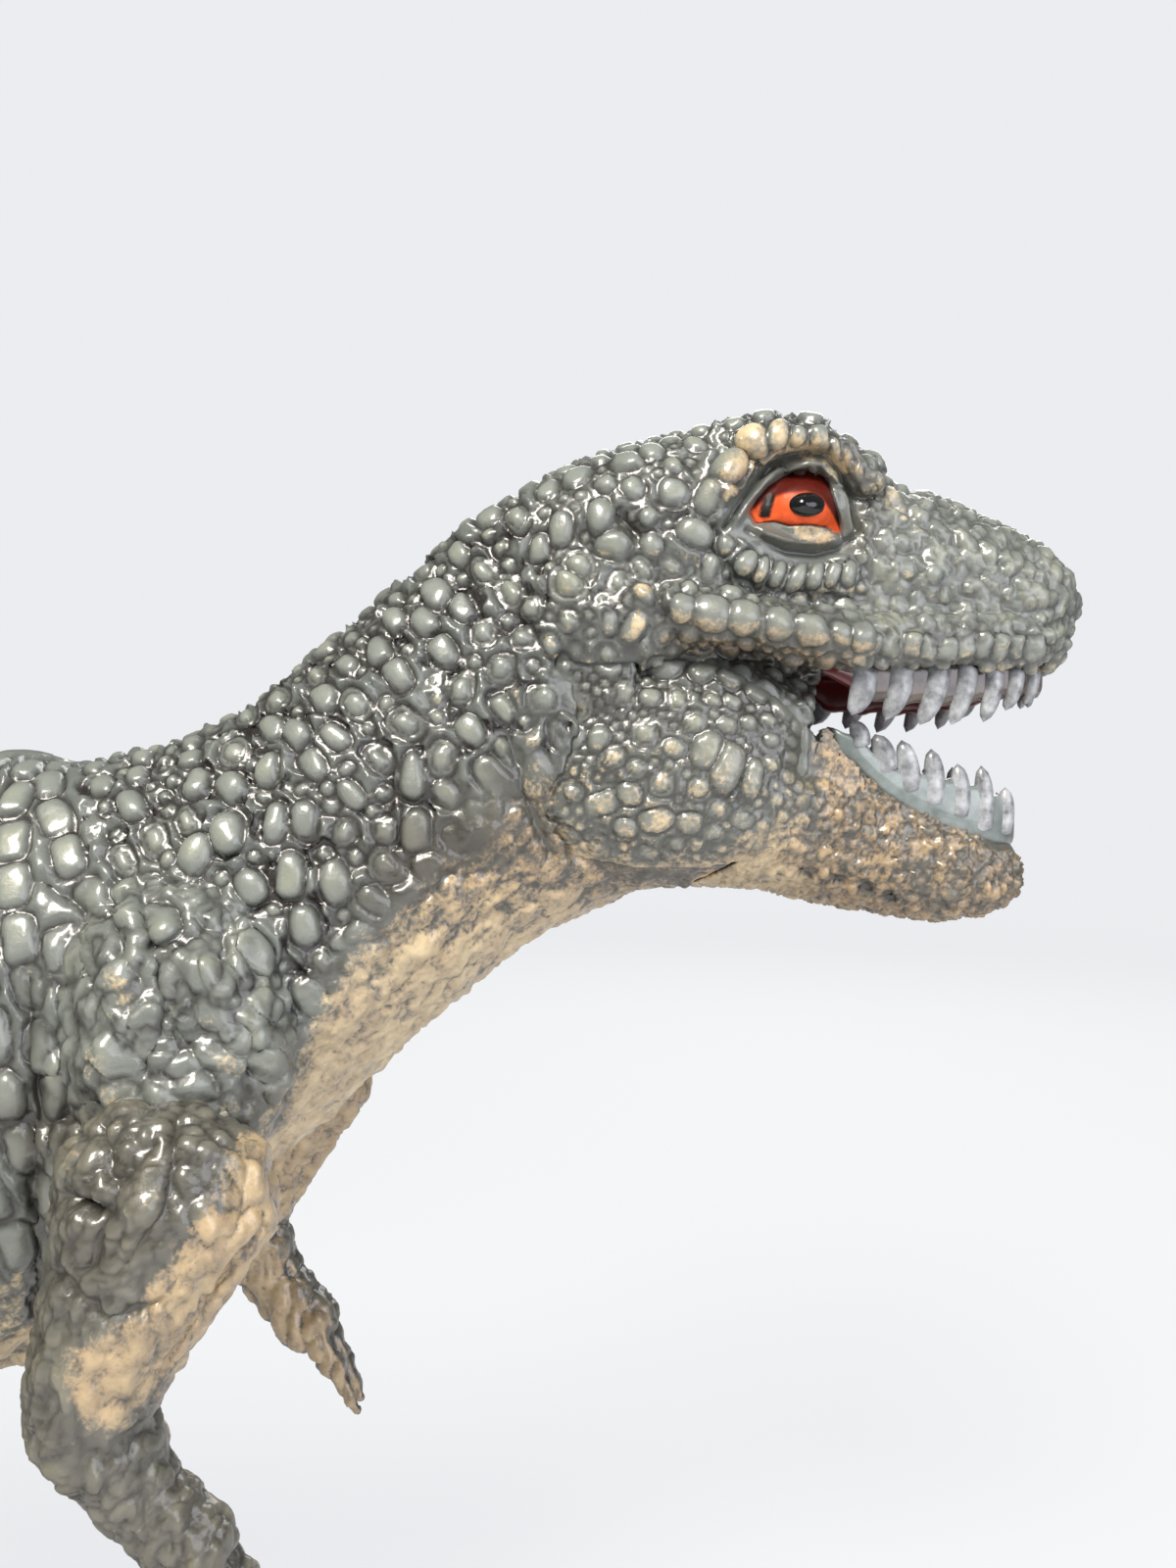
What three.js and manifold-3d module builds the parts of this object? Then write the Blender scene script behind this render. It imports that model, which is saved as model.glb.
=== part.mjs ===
// A hand-painted vinyl dinosaur figure: a big-headed meat eater that stands on two legs with its mouth open.
// Trunk, neck and head are two glued half shells. Tail, arms, legs and the parts of the mouth are glued into
// them, and the lower jaw turns on a pin between the cheeks.
// Millimetres. +X is the way it faces, +Y is its left, +Z is up, and the soles stand on z = 0.
import * as THREE from "three";
import { mergeVertices } from "three/addons/utils/BufferGeometryUtils.js";
import Module from "manifold-3d";

const wasm = await Module();
wasm.setup();

// Overall sizes.
const figureLength = 391; // snout to tail tip
const figureHeight = 210; // soles to the top of the skull
const torsoWidth = 46;
const torsoDepth = 77;
const headLength = 73;
const headWidth = 36;
const skullHeight = 31; // upper lip to the top of the skull
const tailLength = 163.5;

// Walls, gaps and glued joints.
const wall = 3;
const clearance = 0.3;
const seamRounding = 0.001; // a point this near the middle plane belongs on it
const overrun = 5; // how far a cutting tool reaches past what it cuts
const spigotLength = 9; // tail spigot inside the shells
const limbPegDepth = 7; // how far a limb peg reaches in past the skin
const armPegRadius = 3.5;
const legPegRadius = 6;
const postRadius = 3.6; // glue posts inside the shells
const pegRadius = 1.6;
const pegLength = 3.4;

// Jaw hinge.
const jawPinRadius = 1.6;
const jawBossRadius = 4.6;
const throatRadius = 27.5; // the throat ends in an arc of this radius round the hinge
const throatWidth = 22.4; // the throat between the two flanks of the jaw
const flankWidth = 30; // across the flanks of the jaw at the hinge
const jawPinLength = 27.2; // it ends inside the flanks, out of sight
const jawOpensFurther = 5; // degrees from the modelled pose
const jawCloses = 12;
const jawSweepStops = 6;

// Mouth, teeth and eyes.
const upperToothLength = 5.6;
const lowerToothLength = 4.4;
const toothRadius = 1.25;
const toothRake = 1.5; // how far a tooth tip curves backwards
const toothPitch = 4.1;
const gumThickness = 2;
const gumHeight = 4.2; // of the lower strip
const gumShow = 0.8; // upper gum below the lip
const gumSeatDepth = 3.4; // how deep the lower strip sits in the jaw
const upperArchLength = 25;
const upperArchWidth = 22.6;
const lowerArchLength = 21.5;
const lowerArchWidth = 15;
const lowerArchLean = 0.5; // radians that the lower row tips down towards the chin
const palateThickness = 2;
const mouthRoofRise = 5; // palate above the upper lip
const tongueLength = 16;
const tongueWidth = 8.4;
const tongueThickness = 3.6;
const gulletWidth = 15;
const gulletHeight = 13;
const gulletDepth = 19;
const eyeRadius = 5.4;
const eyeStand = 1.4; // how far the eyeball stands out of its socket
const browRadius = 3.4;
const lipRadius = 3.3;

// Limbs.
const shoulderRadius = 12;
const armThickness = 12;
const elbowFlare = 1; // how far the elbow stands out past shoulder and wrist
const handTurnIn = 1;
const fingerLength = 8;
const fingerRadius = 2;
const thighDepth = 46;
const legWidth = 24;
const legSpread = 54; // between the middles of the two feet
const kneeFlare = 1; // how far the knee stands out past the line from hip to foot
const toeLength = 27;
const toeRadius = 5.6;
const clawLength = 9;
const soleFlat = 1; // how deep the toes and heels are cut flat
const stride = 14; // how far each foot stands ahead of or behind the hips

// How finely the forms are faceted.
const bodySides = 20;
const headSides = 16;
const limbSides = 10;
const toeSides = 6;
const ridgeSides = 8;
const pinSides = 16;
const toothSides = 5;
const archSteps = 12;
const domeRings = 2;

// Trunk from the tail joint to the throat. Each row holds the place along the length from its middle, the
// height, the half width, and the reach above and below the path.
const trunkShares = [
  [-0.085, 0.672, 0.35, 0.235, 0.235],
  [-0.045, 0.664, 0.42, 0.31, 0.33],
  [0.02, 0.634, 0.46, 0.43, 0.44],
  [0.094, 0.619, 0.5, 0.49, 0.5],
  [0.153, 0.62, 0.5, 0.49, 0.49],
  [0.209, 0.648, 0.45, 0.455, 0.3],
  [0.265, 0.726, 0.39, 0.335, 0.262],
  [0.295, 0.784, 0.36, 0.29, 0.3],
  [0.329, 0.83, 0.35, 0.295, 0.335],
  [0.355, 0.853, 0.31, 0.2, 0.33],
];
const hollowRows = 8; // rows of the trunk that are hollow

// Skull and lower jaw. Each row holds the place along the head from the back of the skull, the height over the
// upper lip, the half width, and the reach above and below.
const skullShares = [
  [0.0, 0.36, 0.34, 0.27, 0.42],
  [0.1, 0.43, 0.4, 0.32, 0.5],
  [0.2, 0.49, 0.46, 0.37, 0.54],
  [0.335, 0.55, 0.47, 0.4, 0.6],
  [0.47, 0.53, 0.4, 0.34, 0.58],
  [0.61, 0.43, 0.35, 0.35, 0.48],
  [0.71, 0.36, 0.33, 0.365, 0.41],
  [0.815, 0.31, 0.31, 0.315, 0.36],
  [0.918, 0.26, 0.25, 0.26, 0.31],
  [0.965, 0.22, 0.17, 0.18, 0.26],
];
const jawShares = [
  [0.09, -0.34, 0.4, 0.5, 0.4],
  [0.21, -0.4, 0.436, 0.6, 0.45],
  [0.35, -0.44, 0.436, 0.58, 0.41],
  [0.48, -0.49, 0.375, 0.5, 0.38],
  [0.59, -0.6, 0.275, 0.38, 0.33],
  [0.685, -0.7, 0.24, 0.29, 0.27],
  [0.78, -0.785, 0.225, 0.22, 0.21],
  [0.85, -0.79, 0.19, 0.17, 0.16],
  [0.885, -0.77, 0.14, 0.13, 0.12],
];
const headStartShare = 0.3135; // of the figure's length, from its middle
const lipHeightShare = 0.851;
const snoutDomeShare = 0.035; // of the head's length
const chinDomeShare = 0.018;
const napeDomeShare = 0.12;

// Places on the head, along it and over the upper lip, and outwards as a share of the head's half width.
const hingePlaceShares = [0.175, -0.02];
const browPlaceShares = [
  [0.34, 0.79, 0.5],
  [0.43, 0.86, 0.62],
  [0.51, 0.83, 0.62],
  [0.58, 0.72, 0.54],
];
const lipPlaceShares = [
  [0.16, 0.2, 0.78],
  [0.33, 0.2, 0.82],
  [0.49, 0.13, 0.78],
  [0.6, 0.09, 0.66],
  [0.74, 0.1, 0.57],
  [0.88, 0.1, 0.43],
];
const cheekPlaceShares = [0.19, 0.2, 0.5];
const cheekSizeShares = [0.19, 0.48, 0.34]; // of the head's length, its half width and the skull's height
const eyePlaceShares = [0.5, 0.585];
const eyeOutShare = 0.83;

// Tooth rows seen from above: along the row and outwards, from the back of one side to the middle of the front.
const archShares = [
  [0, 1],
  [0.34, 0.9],
  [0.64, 0.79],
  [0.88, 0.6],
  [0.985, 0.3],
  [1, 0],
];
// Up a tooth from inside its gum, and its size there.
const toothShares = [
  [0, 1],
  [0.5, 0.9],
  [0.85, 0.62],
  [1, 0.3],
];
const upperArchPlaceShares = [0.59, 0.0];
const lowerArchPlaceShares = [0.575, -0.27];

// Edge of the lower jaw where it meets its tooth strip, from the corner of the mouth to the chin.
const jawEdgeShares = [
  [0.548, 0.2],
  [0.552, -0.22],
  [0.58, -0.33],
  [0.645, -0.465],
  [0.705, -0.54],
  [0.77, -0.595],
  [0.86, -0.655],
  [1.05, -0.72],
  [1.05, 0.2],
];

// Space in front of the throat and below the upper lip.
const mouthShares = [
  [0.52, -1],
  [1.1, -1],
  [1.1, 0],
  [0.55, 0],
  [0.52, -0.2],
];

// Tail behind its joint: along its length, drop as a share of its length, and size as a share of that at the
// joint.
const tailShares = [
  [0.0, 0.0, 1.0],
  [0.1, -0.008, 0.93],
  [0.24, -0.04, 0.81],
  [0.43, -0.11, 0.63],
  [0.63, -0.185, 0.44],
  [0.83, -0.24, 0.26],
  [0.985, -0.245, 0.09],
];

// Limb joints: along the figure from its middle, and height. Knee, ankle and ball are along from the hip.
const shoulderPlaceShares = [0.232, 0.585];
const elbowPlaceShares = [0.21, 0.476];
const wristPlaceShares = [0.225, 0.43];
const handPlaceShares = [0.239, 0.402];
const hipPlaceShares = [0.052, 0.6];
const kneeReachShares = [0.05, 0.4];
const ankleReachShares = [0.004, 0.185];
const ballReachShares = [0.052, 0.048];
const shoulderMassShares = [0.226, 0.655, 0.36];
const shoulderMassSizeShares = [0.3, 0.2, 0.22]; // of the torso width, width and depth
const armOutShare = 0.58; // of the torso width, from the middle
const hipOutShare = 0.46;
const postPlaceShares = [
  [0.01, 0.5],
  [0.01, 0.74],
  [0.12, 0.5],
  [0.12, 0.75],
  [0.235, 0.66],
];

const paint = (color, roughness) => new THREE.MeshStandardMaterial({ color, roughness, metalness: 0 });
const vinylGrey = paint(0x6e746f, 0.3);
const toothPaint = paint(0xc9cdd0, 0.35);
const mouthRed = paint(0x6d1412, 0.4);
const pinPlastic = paint(0x3b3d3b, 0.5);

// Tools for closed forms.

// One smooth closed form over rings that follow a path. A station is { at, half, up, down }: the middle of the
// ring, its half width across, and its reach on the upper and the lower side. Domes round off the ends.
function loft(stations, facets, steps, { startDome = 0, endDome = 0, fullness = 1 } = {}) {
  const path = new THREE.CatmullRomCurve3(stations.map((s) => s.at));
  const sizes = new THREE.CatmullRomCurve3(stations.map((s) => new THREE.Vector3(s.half, s.up, s.down)));
  const rings = [];
  const bulge = (v) => Math.sign(v) * Math.abs(v) ** fullness;
  const addRing = (t, push, shrink) => {
    const along = path.getTangent(t);
    const across = new THREE.Vector3(0, 1, 0).addScaledVector(along, -along.y).normalize();
    const over = new THREE.Vector3().crossVectors(along, across);
    const middle = path.getPoint(t).addScaledVector(along, push);
    const size = sizes.getPoint(t).multiplyScalar(shrink);
    const ring = Array.from({ length: facets }, (_, j) => {
      const angle = (2 * Math.PI * j) / facets;
      const rise = bulge(Math.sin(angle));
      return middle
        .clone()
        .addScaledVector(across, size.x * bulge(Math.cos(angle)))
        .addScaledVector(over, (rise > 0 ? size.y : size.z) * rise);
    });
    rings.push(ring);
  };
  const domeTurn = (k) => (Math.PI / 2) * (k / domeRings);
  for (let k = domeRings - 1; startDome && k > 0; k -= 1) {
    addRing(0, -startDome * Math.sin(domeTurn(k)), Math.cos(domeTurn(k)));
  }
  for (let i = 0; i <= steps; i += 1) {
    addRing(i / steps, 0, 1);
  }
  for (let k = 1; endDome && k < domeRings; k += 1) {
    addRing(1, endDome * Math.sin(domeTurn(k)), Math.cos(domeTurn(k)));
  }
  const tip = (t, push) => path.getPoint(t).addScaledVector(path.getTangent(t), push);
  const points = [...rings.flat(), tip(0, -startDome), tip(1, endDome)];
  const last = (rings.length - 1) * facets;
  const faces = [];
  for (let j = 0; j < facets; j += 1) {
    const next = (j + 1) % facets;
    faces.push(points.length - 2, next, j, points.length - 1, last + j, last + next);
    for (let ring = 0; ring < last; ring += facets) {
      faces.push(ring + j, ring + next, ring + j + facets);
      faces.push(ring + next, ring + next + facets, ring + j + facets);
    }
  }
  return new THREE.BufferGeometry().setFromPoints(points).setIndex(faces);
}

// A closed geometry as a solid that can be joined and cut.
function solid(geometry, matrix = new THREE.Matrix4()) {
  const bare = geometry.clone().applyMatrix4(matrix);
  bare.deleteAttribute("normal");
  bare.deleteAttribute("uv");
  const merged = mergeVertices(bare);
  const vertProperties = new Float32Array(merged.attributes.position.array);
  const triVerts = new Uint32Array(merged.index.array);
  return new wasm.Manifold(new wasm.Mesh({ numProp: 3, vertProperties, triVerts }));
}

const join = (parts) => parts.reduce((sum, part) => sum.add(part));
const cut = (part, tools) => tools.reduce((left, tool) => left.subtract(tool), part);
const shift = (x, y, z) => new THREE.Matrix4().makeTranslation(x, y, z);

// The largest piece that a cut leaves; the trimmings fall away.
function mainPiece(part) {
  return part.decompose().reduce((best, piece) => (piece.volume() > best.volume() ? piece : best));
}

// A round bar across the figure.
function barAcross(radius, x, z, fromY, toY, facets = pinSides) {
  const bar = new THREE.CylinderGeometry(radius, radius, Math.abs(toY - fromY), facets);
  return solid(bar, shift(x, (fromY + toY) / 2, z));
}

function ellipsoid(middle, rx, ry, rz, facets = limbSides) {
  const ball = new THREE.SphereGeometry(1, facets, facets / 2);
  return solid(ball, shift(middle.x, middle.y, middle.z).scale(new THREE.Vector3(rx, ry, rz)));
}

// Half of space on one side of the middle plane.
function halfSpace(side) {
  const size = 2 * figureLength;
  return solid(new THREE.BoxGeometry(size, size, size), shift(0, (side * size) / 2, 0));
}

// Everything below the ground.
function underground() {
  const size = 2 * figureLength;
  return solid(new THREE.BoxGeometry(size, size, size), shift(0, 0, -size / 2));
}

// A side-view outline pushed across the whole width.
function sideCut(outline, width) {
  const shape = new THREE.Shape(outline.map(({ x, z }) => new THREE.Vector2(x, z)));
  const plate = new THREE.ExtrudeGeometry(shape, { depth: width, bevelEnabled: false });
  return solid(plate, shift(0, width / 2, 0).multiply(new THREE.Matrix4().makeRotationX(Math.PI / 2)));
}

function meshOf(name, part, material) {
  const { numProp, vertProperties, triVerts } = part.getMesh();
  const geometry = new THREE.BufferGeometry();
  geometry.setAttribute("position", new THREE.BufferAttribute(vertProperties, numProp));
  geometry.setIndex(new THREE.BufferAttribute(triVerts, 1));
  const mesh = new THREE.Mesh(geometry, material);
  mesh.name = name;
  return mesh;
}

// Places on the figure.

const place = (x, z, y = 0) => new THREE.Vector3(x, y, z);
const bodyPoint = ([along, height], y = 0) => place(along * figureLength, height * figureHeight, y);
const headPoint = ([along, height], y = 0) =>
  place(
    headStartShare * figureLength + along * headLength,
    lipHeightShare * figureHeight + height * skullHeight,
    y,
  );
const outOnHead = (share, side) => side * share * (headWidth / 2);

// One ring of a limb: the same reach on both sides of its path.
const ringAt = (middle, half, reach) => ({ at: middle, half, up: reach, down: reach });

const hinge = headPoint(hingePlaceShares);
const jawTurned = (degrees) =>
  shift(hinge.x, hinge.y, hinge.z)
    .multiply(new THREE.Matrix4().makeRotationY(THREE.MathUtils.degToRad(degrees)))
    .multiply(shift(-hinge.x, -hinge.y, -hinge.z));

// Main forms of trunk, skull and jaw, grown outwards by a gap where they cut a neighbour.

const trunkStations = (grow) =>
  trunkShares.map(([along, height, half, up, down]) => ({
    at: bodyPoint([along, height]),
    half: half * torsoWidth + grow,
    up: up * torsoDepth + grow,
    down: down * torsoDepth + grow,
  }));

const headStations = (shares, grow) =>
  shares.map(([along, height, half, up, down]) => ({
    at: headPoint([along, height]),
    half: half * headWidth + grow,
    up: up * skullHeight + grow,
    down: down * skullHeight + grow,
  }));

const trunkForm = (grow, back = 0) =>
  solid(loft(trunkStations(grow), bodySides, 22, { endDome: wall, fullness: 0.92 }), shift(-back, 0, 0));

const skullForm = () =>
  solid(
    loft(headStations(skullShares, 0), headSides, 17, {
      startDome: napeDomeShare * headLength,
      endDome: snoutDomeShare * headLength,
      fullness: 0.86,
    }),
  );

const jawForm = (grow, degrees = 0) =>
  solid(
    loft(headStations(jawShares, grow), headSides, 12, {
      startDome: wall,
      endDome: chinDomeShare * headLength + grow,
      fullness: 0.8,
    }),
    jawTurned(degrees),
  );

// The part of the throat that the jaw's underside runs on into. It stays with the body.
const throatForm = () =>
  jawForm(0).intersect(
    barAcross(throatRadius, hinge.x, hinge.z, -throatWidth / 2, throatWidth / 2, bodySides * 3),
  );

// Muscle over one arm.
function shoulderMass(side, grow) {
  const [along, height, out] = shoulderMassShares;
  const [length, width, depth] = shoulderMassSizeShares;
  const middle = bodyPoint([along, height], side * out * torsoWidth);
  return ellipsoid(middle, length * torsoWidth + grow, width * torsoWidth + grow, depth * torsoDepth + grow);
}

const torsoForm = (side, grow) => trunkForm(grow).add(shoulderMass(side, grow));

// A soft ridge on one side of the head.
function ridge(places, side, radius) {
  const stations = places.map(([along, height, out]) =>
    ringAt(headPoint([along, height], outOnHead(out, side)), radius, radius),
  );
  return solid(loft(stations, ridgeSides, places.length + 1, { startDome: radius, endDome: radius }));
}

// Brow, lip, cheek and eye of one side of the head.
function faceForms(side) {
  const [along, height, out] = cheekPlaceShares;
  const [length, width, depth] = cheekSizeShares;
  const cheekMiddle = headPoint([along, height], outOnHead(out, side));
  const eye = headPoint(eyePlaceShares, outOnHead(eyeOutShare, side) - side * (eyeRadius - eyeStand));
  return [
    ridge(browPlaceShares, side, browRadius),
    ridge(lipPlaceShares, side, lipRadius),
    ellipsoid(cheekMiddle, length * headLength, (width * headWidth) / 2, depth * skullHeight),
    ellipsoid(eye, eyeRadius, eyeRadius, eyeRadius * 0.8),
  ];
}

const jawPin = () => barAcross(jawPinRadius, hinge.x, hinge.z, -jawPinLength / 2, jawPinLength / 2);

function pinHole() {
  const reach = jawPinLength / 2 + clearance;
  return barAcross(jawPinRadius + clearance, hinge.x, hinge.z, -reach, reach);
}

// Space that the jaw needs over its whole swing, less the throat that stays between its flanks.
function jawRoom() {
  const swing = jawCloses + jawOpensFurther;
  const stops = Array.from({ length: jawSweepStops + 1 }, (_, i) => (i / jawSweepStops) * swing - jawCloses);
  const swept = join(stops.map((degrees) => jawForm(clearance, degrees)));
  const reach = flankWidth / 2 + clearance;
  const bosses = barAcross(jawBossRadius + clearance, hinge.x, hinge.z, -reach, reach);
  const throat = barAcross(throatRadius, hinge.x, hinge.z, -throatWidth / 2, throatWidth / 2, bodySides * 3);
  return swept.add(bosses).subtract(throat);
}

// Mouth.

// The curve of a tooth row, from the right back tooth round the front to the left one.
function archCurve(length, width) {
  const right = archShares.map(([along, out]) => new THREE.Vector3(along * length, (-out * width) / 2, 0));
  const left = right.slice(0, -1).map((p) => new THREE.Vector3(p.x, -p.y, 0));
  return new THREE.CatmullRomCurve3([...right, ...left.reverse()]);
}

// The area inside a tooth row grown outwards, run on behind its back teeth, as a plate of some height.
function archPlate(length, width, grow, back, height) {
  const shape = new THREE.Shape();
  shape.moveTo(-back, -width / 2 - grow);
  for (const p of archCurve(length + grow, width + 2 * grow).getSpacedPoints(archSteps)) {
    shape.lineTo(p.x, p.y);
  }
  shape.lineTo(-back, width / 2 + grow);
  return new THREE.ExtrudeGeometry(shape, { depth: height, bevelEnabled: false });
}

// A gum band with one recurved tooth after another. The teeth point along +Z of the strip's own space.
function toothStrip(length, width, height, toothLength, matrix) {
  const outer = solid(archPlate(length, width, gumThickness / 2, 0, height), matrix);
  const lowered = matrix.clone().multiply(shift(0, 0, -overrun));
  const inner = solid(archPlate(length, width, -gumThickness / 2, overrun, height + 2 * overrun), lowered);
  const row = archCurve(length, width);
  const count = Math.round(row.getLength() / toothPitch);
  const teeth = Array.from({ length: count }, (_, i) => {
    const t = (i + 0.5) / count;
    const root = row.getPointAt(t);
    const tall = toothLength * (0.6 + 0.4 * Math.sin(Math.PI * (0.1 + (0.7 * root.x) / length)));
    const rake = row.getTangentAt(t).multiplyScalar(root.y < 0 ? -toothRake : toothRake);
    const stations = toothShares.map(([share, size]) => {
      const middle = root.clone().addScaledVector(rake, share * share);
      middle.z = height - gumThickness / 2 + share * (tall + gumThickness / 2);
      return ringAt(middle, toothRadius * size, toothRadius * size);
    });
    return solid(loft(stations, toothSides, 3), matrix);
  });
  return join([outer.subtract(inner), ...teeth]);
}

// The upper row hangs from the roof of the mouth; the lower one leans down towards the chin.
const upperArchAt = () => {
  const back = headPoint(upperArchPlaceShares);
  return shift(back.x, 0, back.z + mouthRoofRise).multiply(new THREE.Matrix4().makeRotationX(Math.PI));
};
const lowerArchAt = () => {
  const back = headPoint(lowerArchPlaceShares);
  return shift(back.x, 0, back.z)
    .multiply(new THREE.Matrix4().makeRotationY(lowerArchLean))
    .multiply(shift(0, 0, -gumSeatDepth));
};

const upperTeeth = () =>
  toothStrip(upperArchLength, upperArchWidth, mouthRoofRise + gumShow, upperToothLength, upperArchAt());
const lowerTeeth = () => toothStrip(lowerArchLength, lowerArchWidth, gumHeight, lowerToothLength, lowerArchAt());

// Plate that closes the roof of the mouth inside the upper tooth row.
function palate() {
  const grow = -gumThickness / 2 - clearance;
  return solid(archPlate(upperArchLength, upperArchWidth, grow, 0, palateThickness), upperArchAt());
}

// Recess in the skull that takes the palate and the upper tooth strip.
function roofRecess() {
  const grow = gumThickness / 2 + clearance;
  const plate = archPlate(upperArchLength, upperArchWidth, grow, clearance, mouthRoofRise + skullHeight);
  return solid(plate, upperArchAt().multiply(shift(0, 0, -clearance)));
}

// Hollow of the throat behind the tongue.
function gullet() {
  const front = place(hinge.x + throatRadius + overrun, hinge.z - gulletHeight / 3);
  const stations = [1, 0.9, 0.45].map((size, i) => {
    const middle = front.clone().add(place((-i * (gulletDepth + overrun)) / 2, 0));
    return ringAt(middle, (size * gulletWidth) / 2, (size * gulletHeight) / 2);
  });
  return solid(loft(stations, limbSides, 4, { endDome: gulletHeight / 6 }));
}

function tongue() {
  const stations = [
    [0, 0.8, 0.8],
    [0.3, 1, 1],
    [0.7, 0.9, 0.85],
    [1, 0.55, 0.5],
  ].map(([along, wide, thick]) => {
    const middle = place(along * tongueLength, tongueThickness * (0.5 + 0.3 * along * along) + clearance);
    return ringAt(middle, (wide * tongueWidth) / 2, (thick * tongueThickness) / 2);
  });
  const ends = { startDome: tongueThickness / 3, endDome: tongueThickness / 2 };
  return solid(loft(stations, limbSides, 5, ends), lowerArchAt());
}

// Limbs and tail.

// Peg from inside the shell out into a limb.
const pegStart = torsoWidth / 2 - wall - limbPegDepth;
const pegEnd = torsoWidth / 2 + wall;
const limbPeg = (radius, joint, side) => barAcross(radius, joint.x, joint.z, side * pegStart, side * pegEnd);

function foot(side, ball) {
  const heel = ball.clone().add(place(-toeRadius, 0)).setZ(toeRadius - soleFlat);
  const forms = [ellipsoid(heel, toeRadius * 2, toeRadius * 1.5, toeRadius)];
  for (const turn of [-0.5, 0, 0.5]) {
    const forward = new THREE.Vector3(Math.cos(turn), Math.sin(turn) + side * 0.08, 0);
    const length = toeLength * (turn ? 0.86 : 1);
    const toeRing = (share, height, half, reach) => {
      const middle = ball.clone().addScaledVector(forward, share * length);
      return ringAt(middle.setZ(height * toeRadius - soleFlat), half * toeRadius, reach * toeRadius);
    };
    const toe = [
      toeRing(-0.2, 1, 1, 1),
      toeRing(0.3, 0.9, 0.92, 0.9),
      toeRing(0.6, 1, 1, 1),
      toeRing(0.95, 0.85, 0.75, 0.85),
    ];
    const clawShare = clawLength / length;
    const claw = [
      toeRing(0.95, 0.85, 0.5, 0.6),
      toeRing(0.95 + 0.5 * clawShare, 0.75, 0.38, 0.42),
      toeRing(0.95 + clawShare, 0.4, 0.12, 0.14),
    ];
    forms.push(solid(loft(toe, toeSides, 4, { startDome: toeRadius / 2, endDome: toeRadius / 2 })));
    forms.push(solid(loft(claw, toeSides, 2)));
  }
  return forms;
}

// Thigh, shin, ankle, foot and the peg that is glued into the body.
function leg(side) {
  const hip = bodyPoint(hipPlaceShares);
  const out = side * hipOutShare * torsoWidth;
  const footOut = (side * legSpread) / 2;
  const joint = ([along, height], lead, y) =>
    place(hip.x + along * figureLength - side * lead * stride, height * figureHeight, y);
  const knee = joint(kneeReachShares, 0.6, (out + footOut) / 2 + side * kneeFlare);
  const ankle = joint(ankleReachShares, 0.9, footOut);
  const ball = joint(ballReachShares, 1, footOut);
  const half = legWidth / 2;
  const limbRing = (from, to, share, wide, deep) =>
    ringAt(from.clone().lerp(to, share), wide * half, deep * thighDepth);
  const top = hip.clone().setY(out);
  const thigh = [
    limbRing(top, knee, -0.22, 0.8, 0.34),
    limbRing(top, knee, 0.1, 1.05, 0.5),
    limbRing(top, knee, 0.5, 1, 0.44),
    limbRing(top, knee, 0.98, 0.75, 0.26),
  ];
  const shin = [
    limbRing(knee, ankle, -0.04, 0.7, 0.24),
    limbRing(knee, ankle, 0.35, 0.82, 0.28),
    limbRing(knee, ankle, 0.75, 0.6, 0.18),
    limbRing(knee, ankle, 1, 0.6, 0.16),
  ];
  const shank = [
    limbRing(ankle, ball, -0.1, 0.55, 0.13),
    limbRing(ankle, ball, 0.5, 0.6, 0.13),
    limbRing(ankle, ball, 0.88, 0.75, 0.14),
  ];
  const skin = join([
    solid(loft(thigh, limbSides, 7, { startDome: half, endDome: half * 0.6 })),
    solid(loft(shin, limbSides, 5, { startDome: half * 0.5, endDome: half * 0.5 })),
    solid(loft(shank, limbSides, 4, { startDome: half * 0.4, endDome: half * 0.4 })),
    ...foot(side, ball),
  ]);
  return mainPiece(cut(skin, [trunkForm(clearance), underground()])).add(limbPeg(legPegRadius, hip, side));
}

// Arm with its hand of two fingers, bent at the elbow.
function arm(side) {
  const out = side * armOutShare * torsoWidth;
  const shoulder = bodyPoint(shoulderPlaceShares, out);
  const elbow = bodyPoint(elbowPlaceShares, out + side * elbowFlare);
  const wrist = bodyPoint(wristPlaceShares, out);
  const hand = bodyPoint(handPlaceShares, out - side * handTurnIn);
  const half = armThickness / 2;
  const upper = [
    ringAt(shoulder, half * 1.35, shoulderRadius),
    ringAt(shoulder.clone().lerp(elbow, 0.5), half * 1.15, shoulderRadius * 0.72),
    ringAt(elbow, half, half * 1.05),
  ];
  const fore = [
    ringAt(elbow, half * 0.95, half),
    ringAt(elbow.clone().lerp(wrist, 0.5), half * 0.85, half * 0.88),
    ringAt(wrist, half * 0.62, half * 0.7),
    ringAt(hand, half * 0.66, half * 0.72),
  ];
  const reach = hand.clone().sub(wrist).normalize();
  const fingers = [-1, 1].map((way) => {
    const root = hand.clone().add(place(0, 0, way * fingerRadius * 0.9));
    const stations = [
      [0, 1],
      [0.5, 0.95],
      [0.85, 0.7],
      [1.35, 0.15],
    ].map(([share, size]) => {
      const curl = place(0, -share * share * fingerRadius);
      const middle = root.clone().addScaledVector(reach, share * fingerLength).add(curl);
      return ringAt(middle, fingerRadius * size, fingerRadius * size);
    });
    return solid(loft(stations, toeSides, 4, { startDome: fingerRadius }));
  });
  const skin = join([
    solid(loft(upper, limbSides, 5, { startDome: shoulderRadius * 0.75, endDome: half * 0.7 })),
    solid(loft(fore, limbSides, 6, { startDome: half * 0.6, endDome: half * 0.5 })),
    ...fingers,
  ]).subtract(torsoForm(side, clearance));
  return mainPiece(skin).add(limbPeg(armPegRadius, shoulder, side));
}

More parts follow.
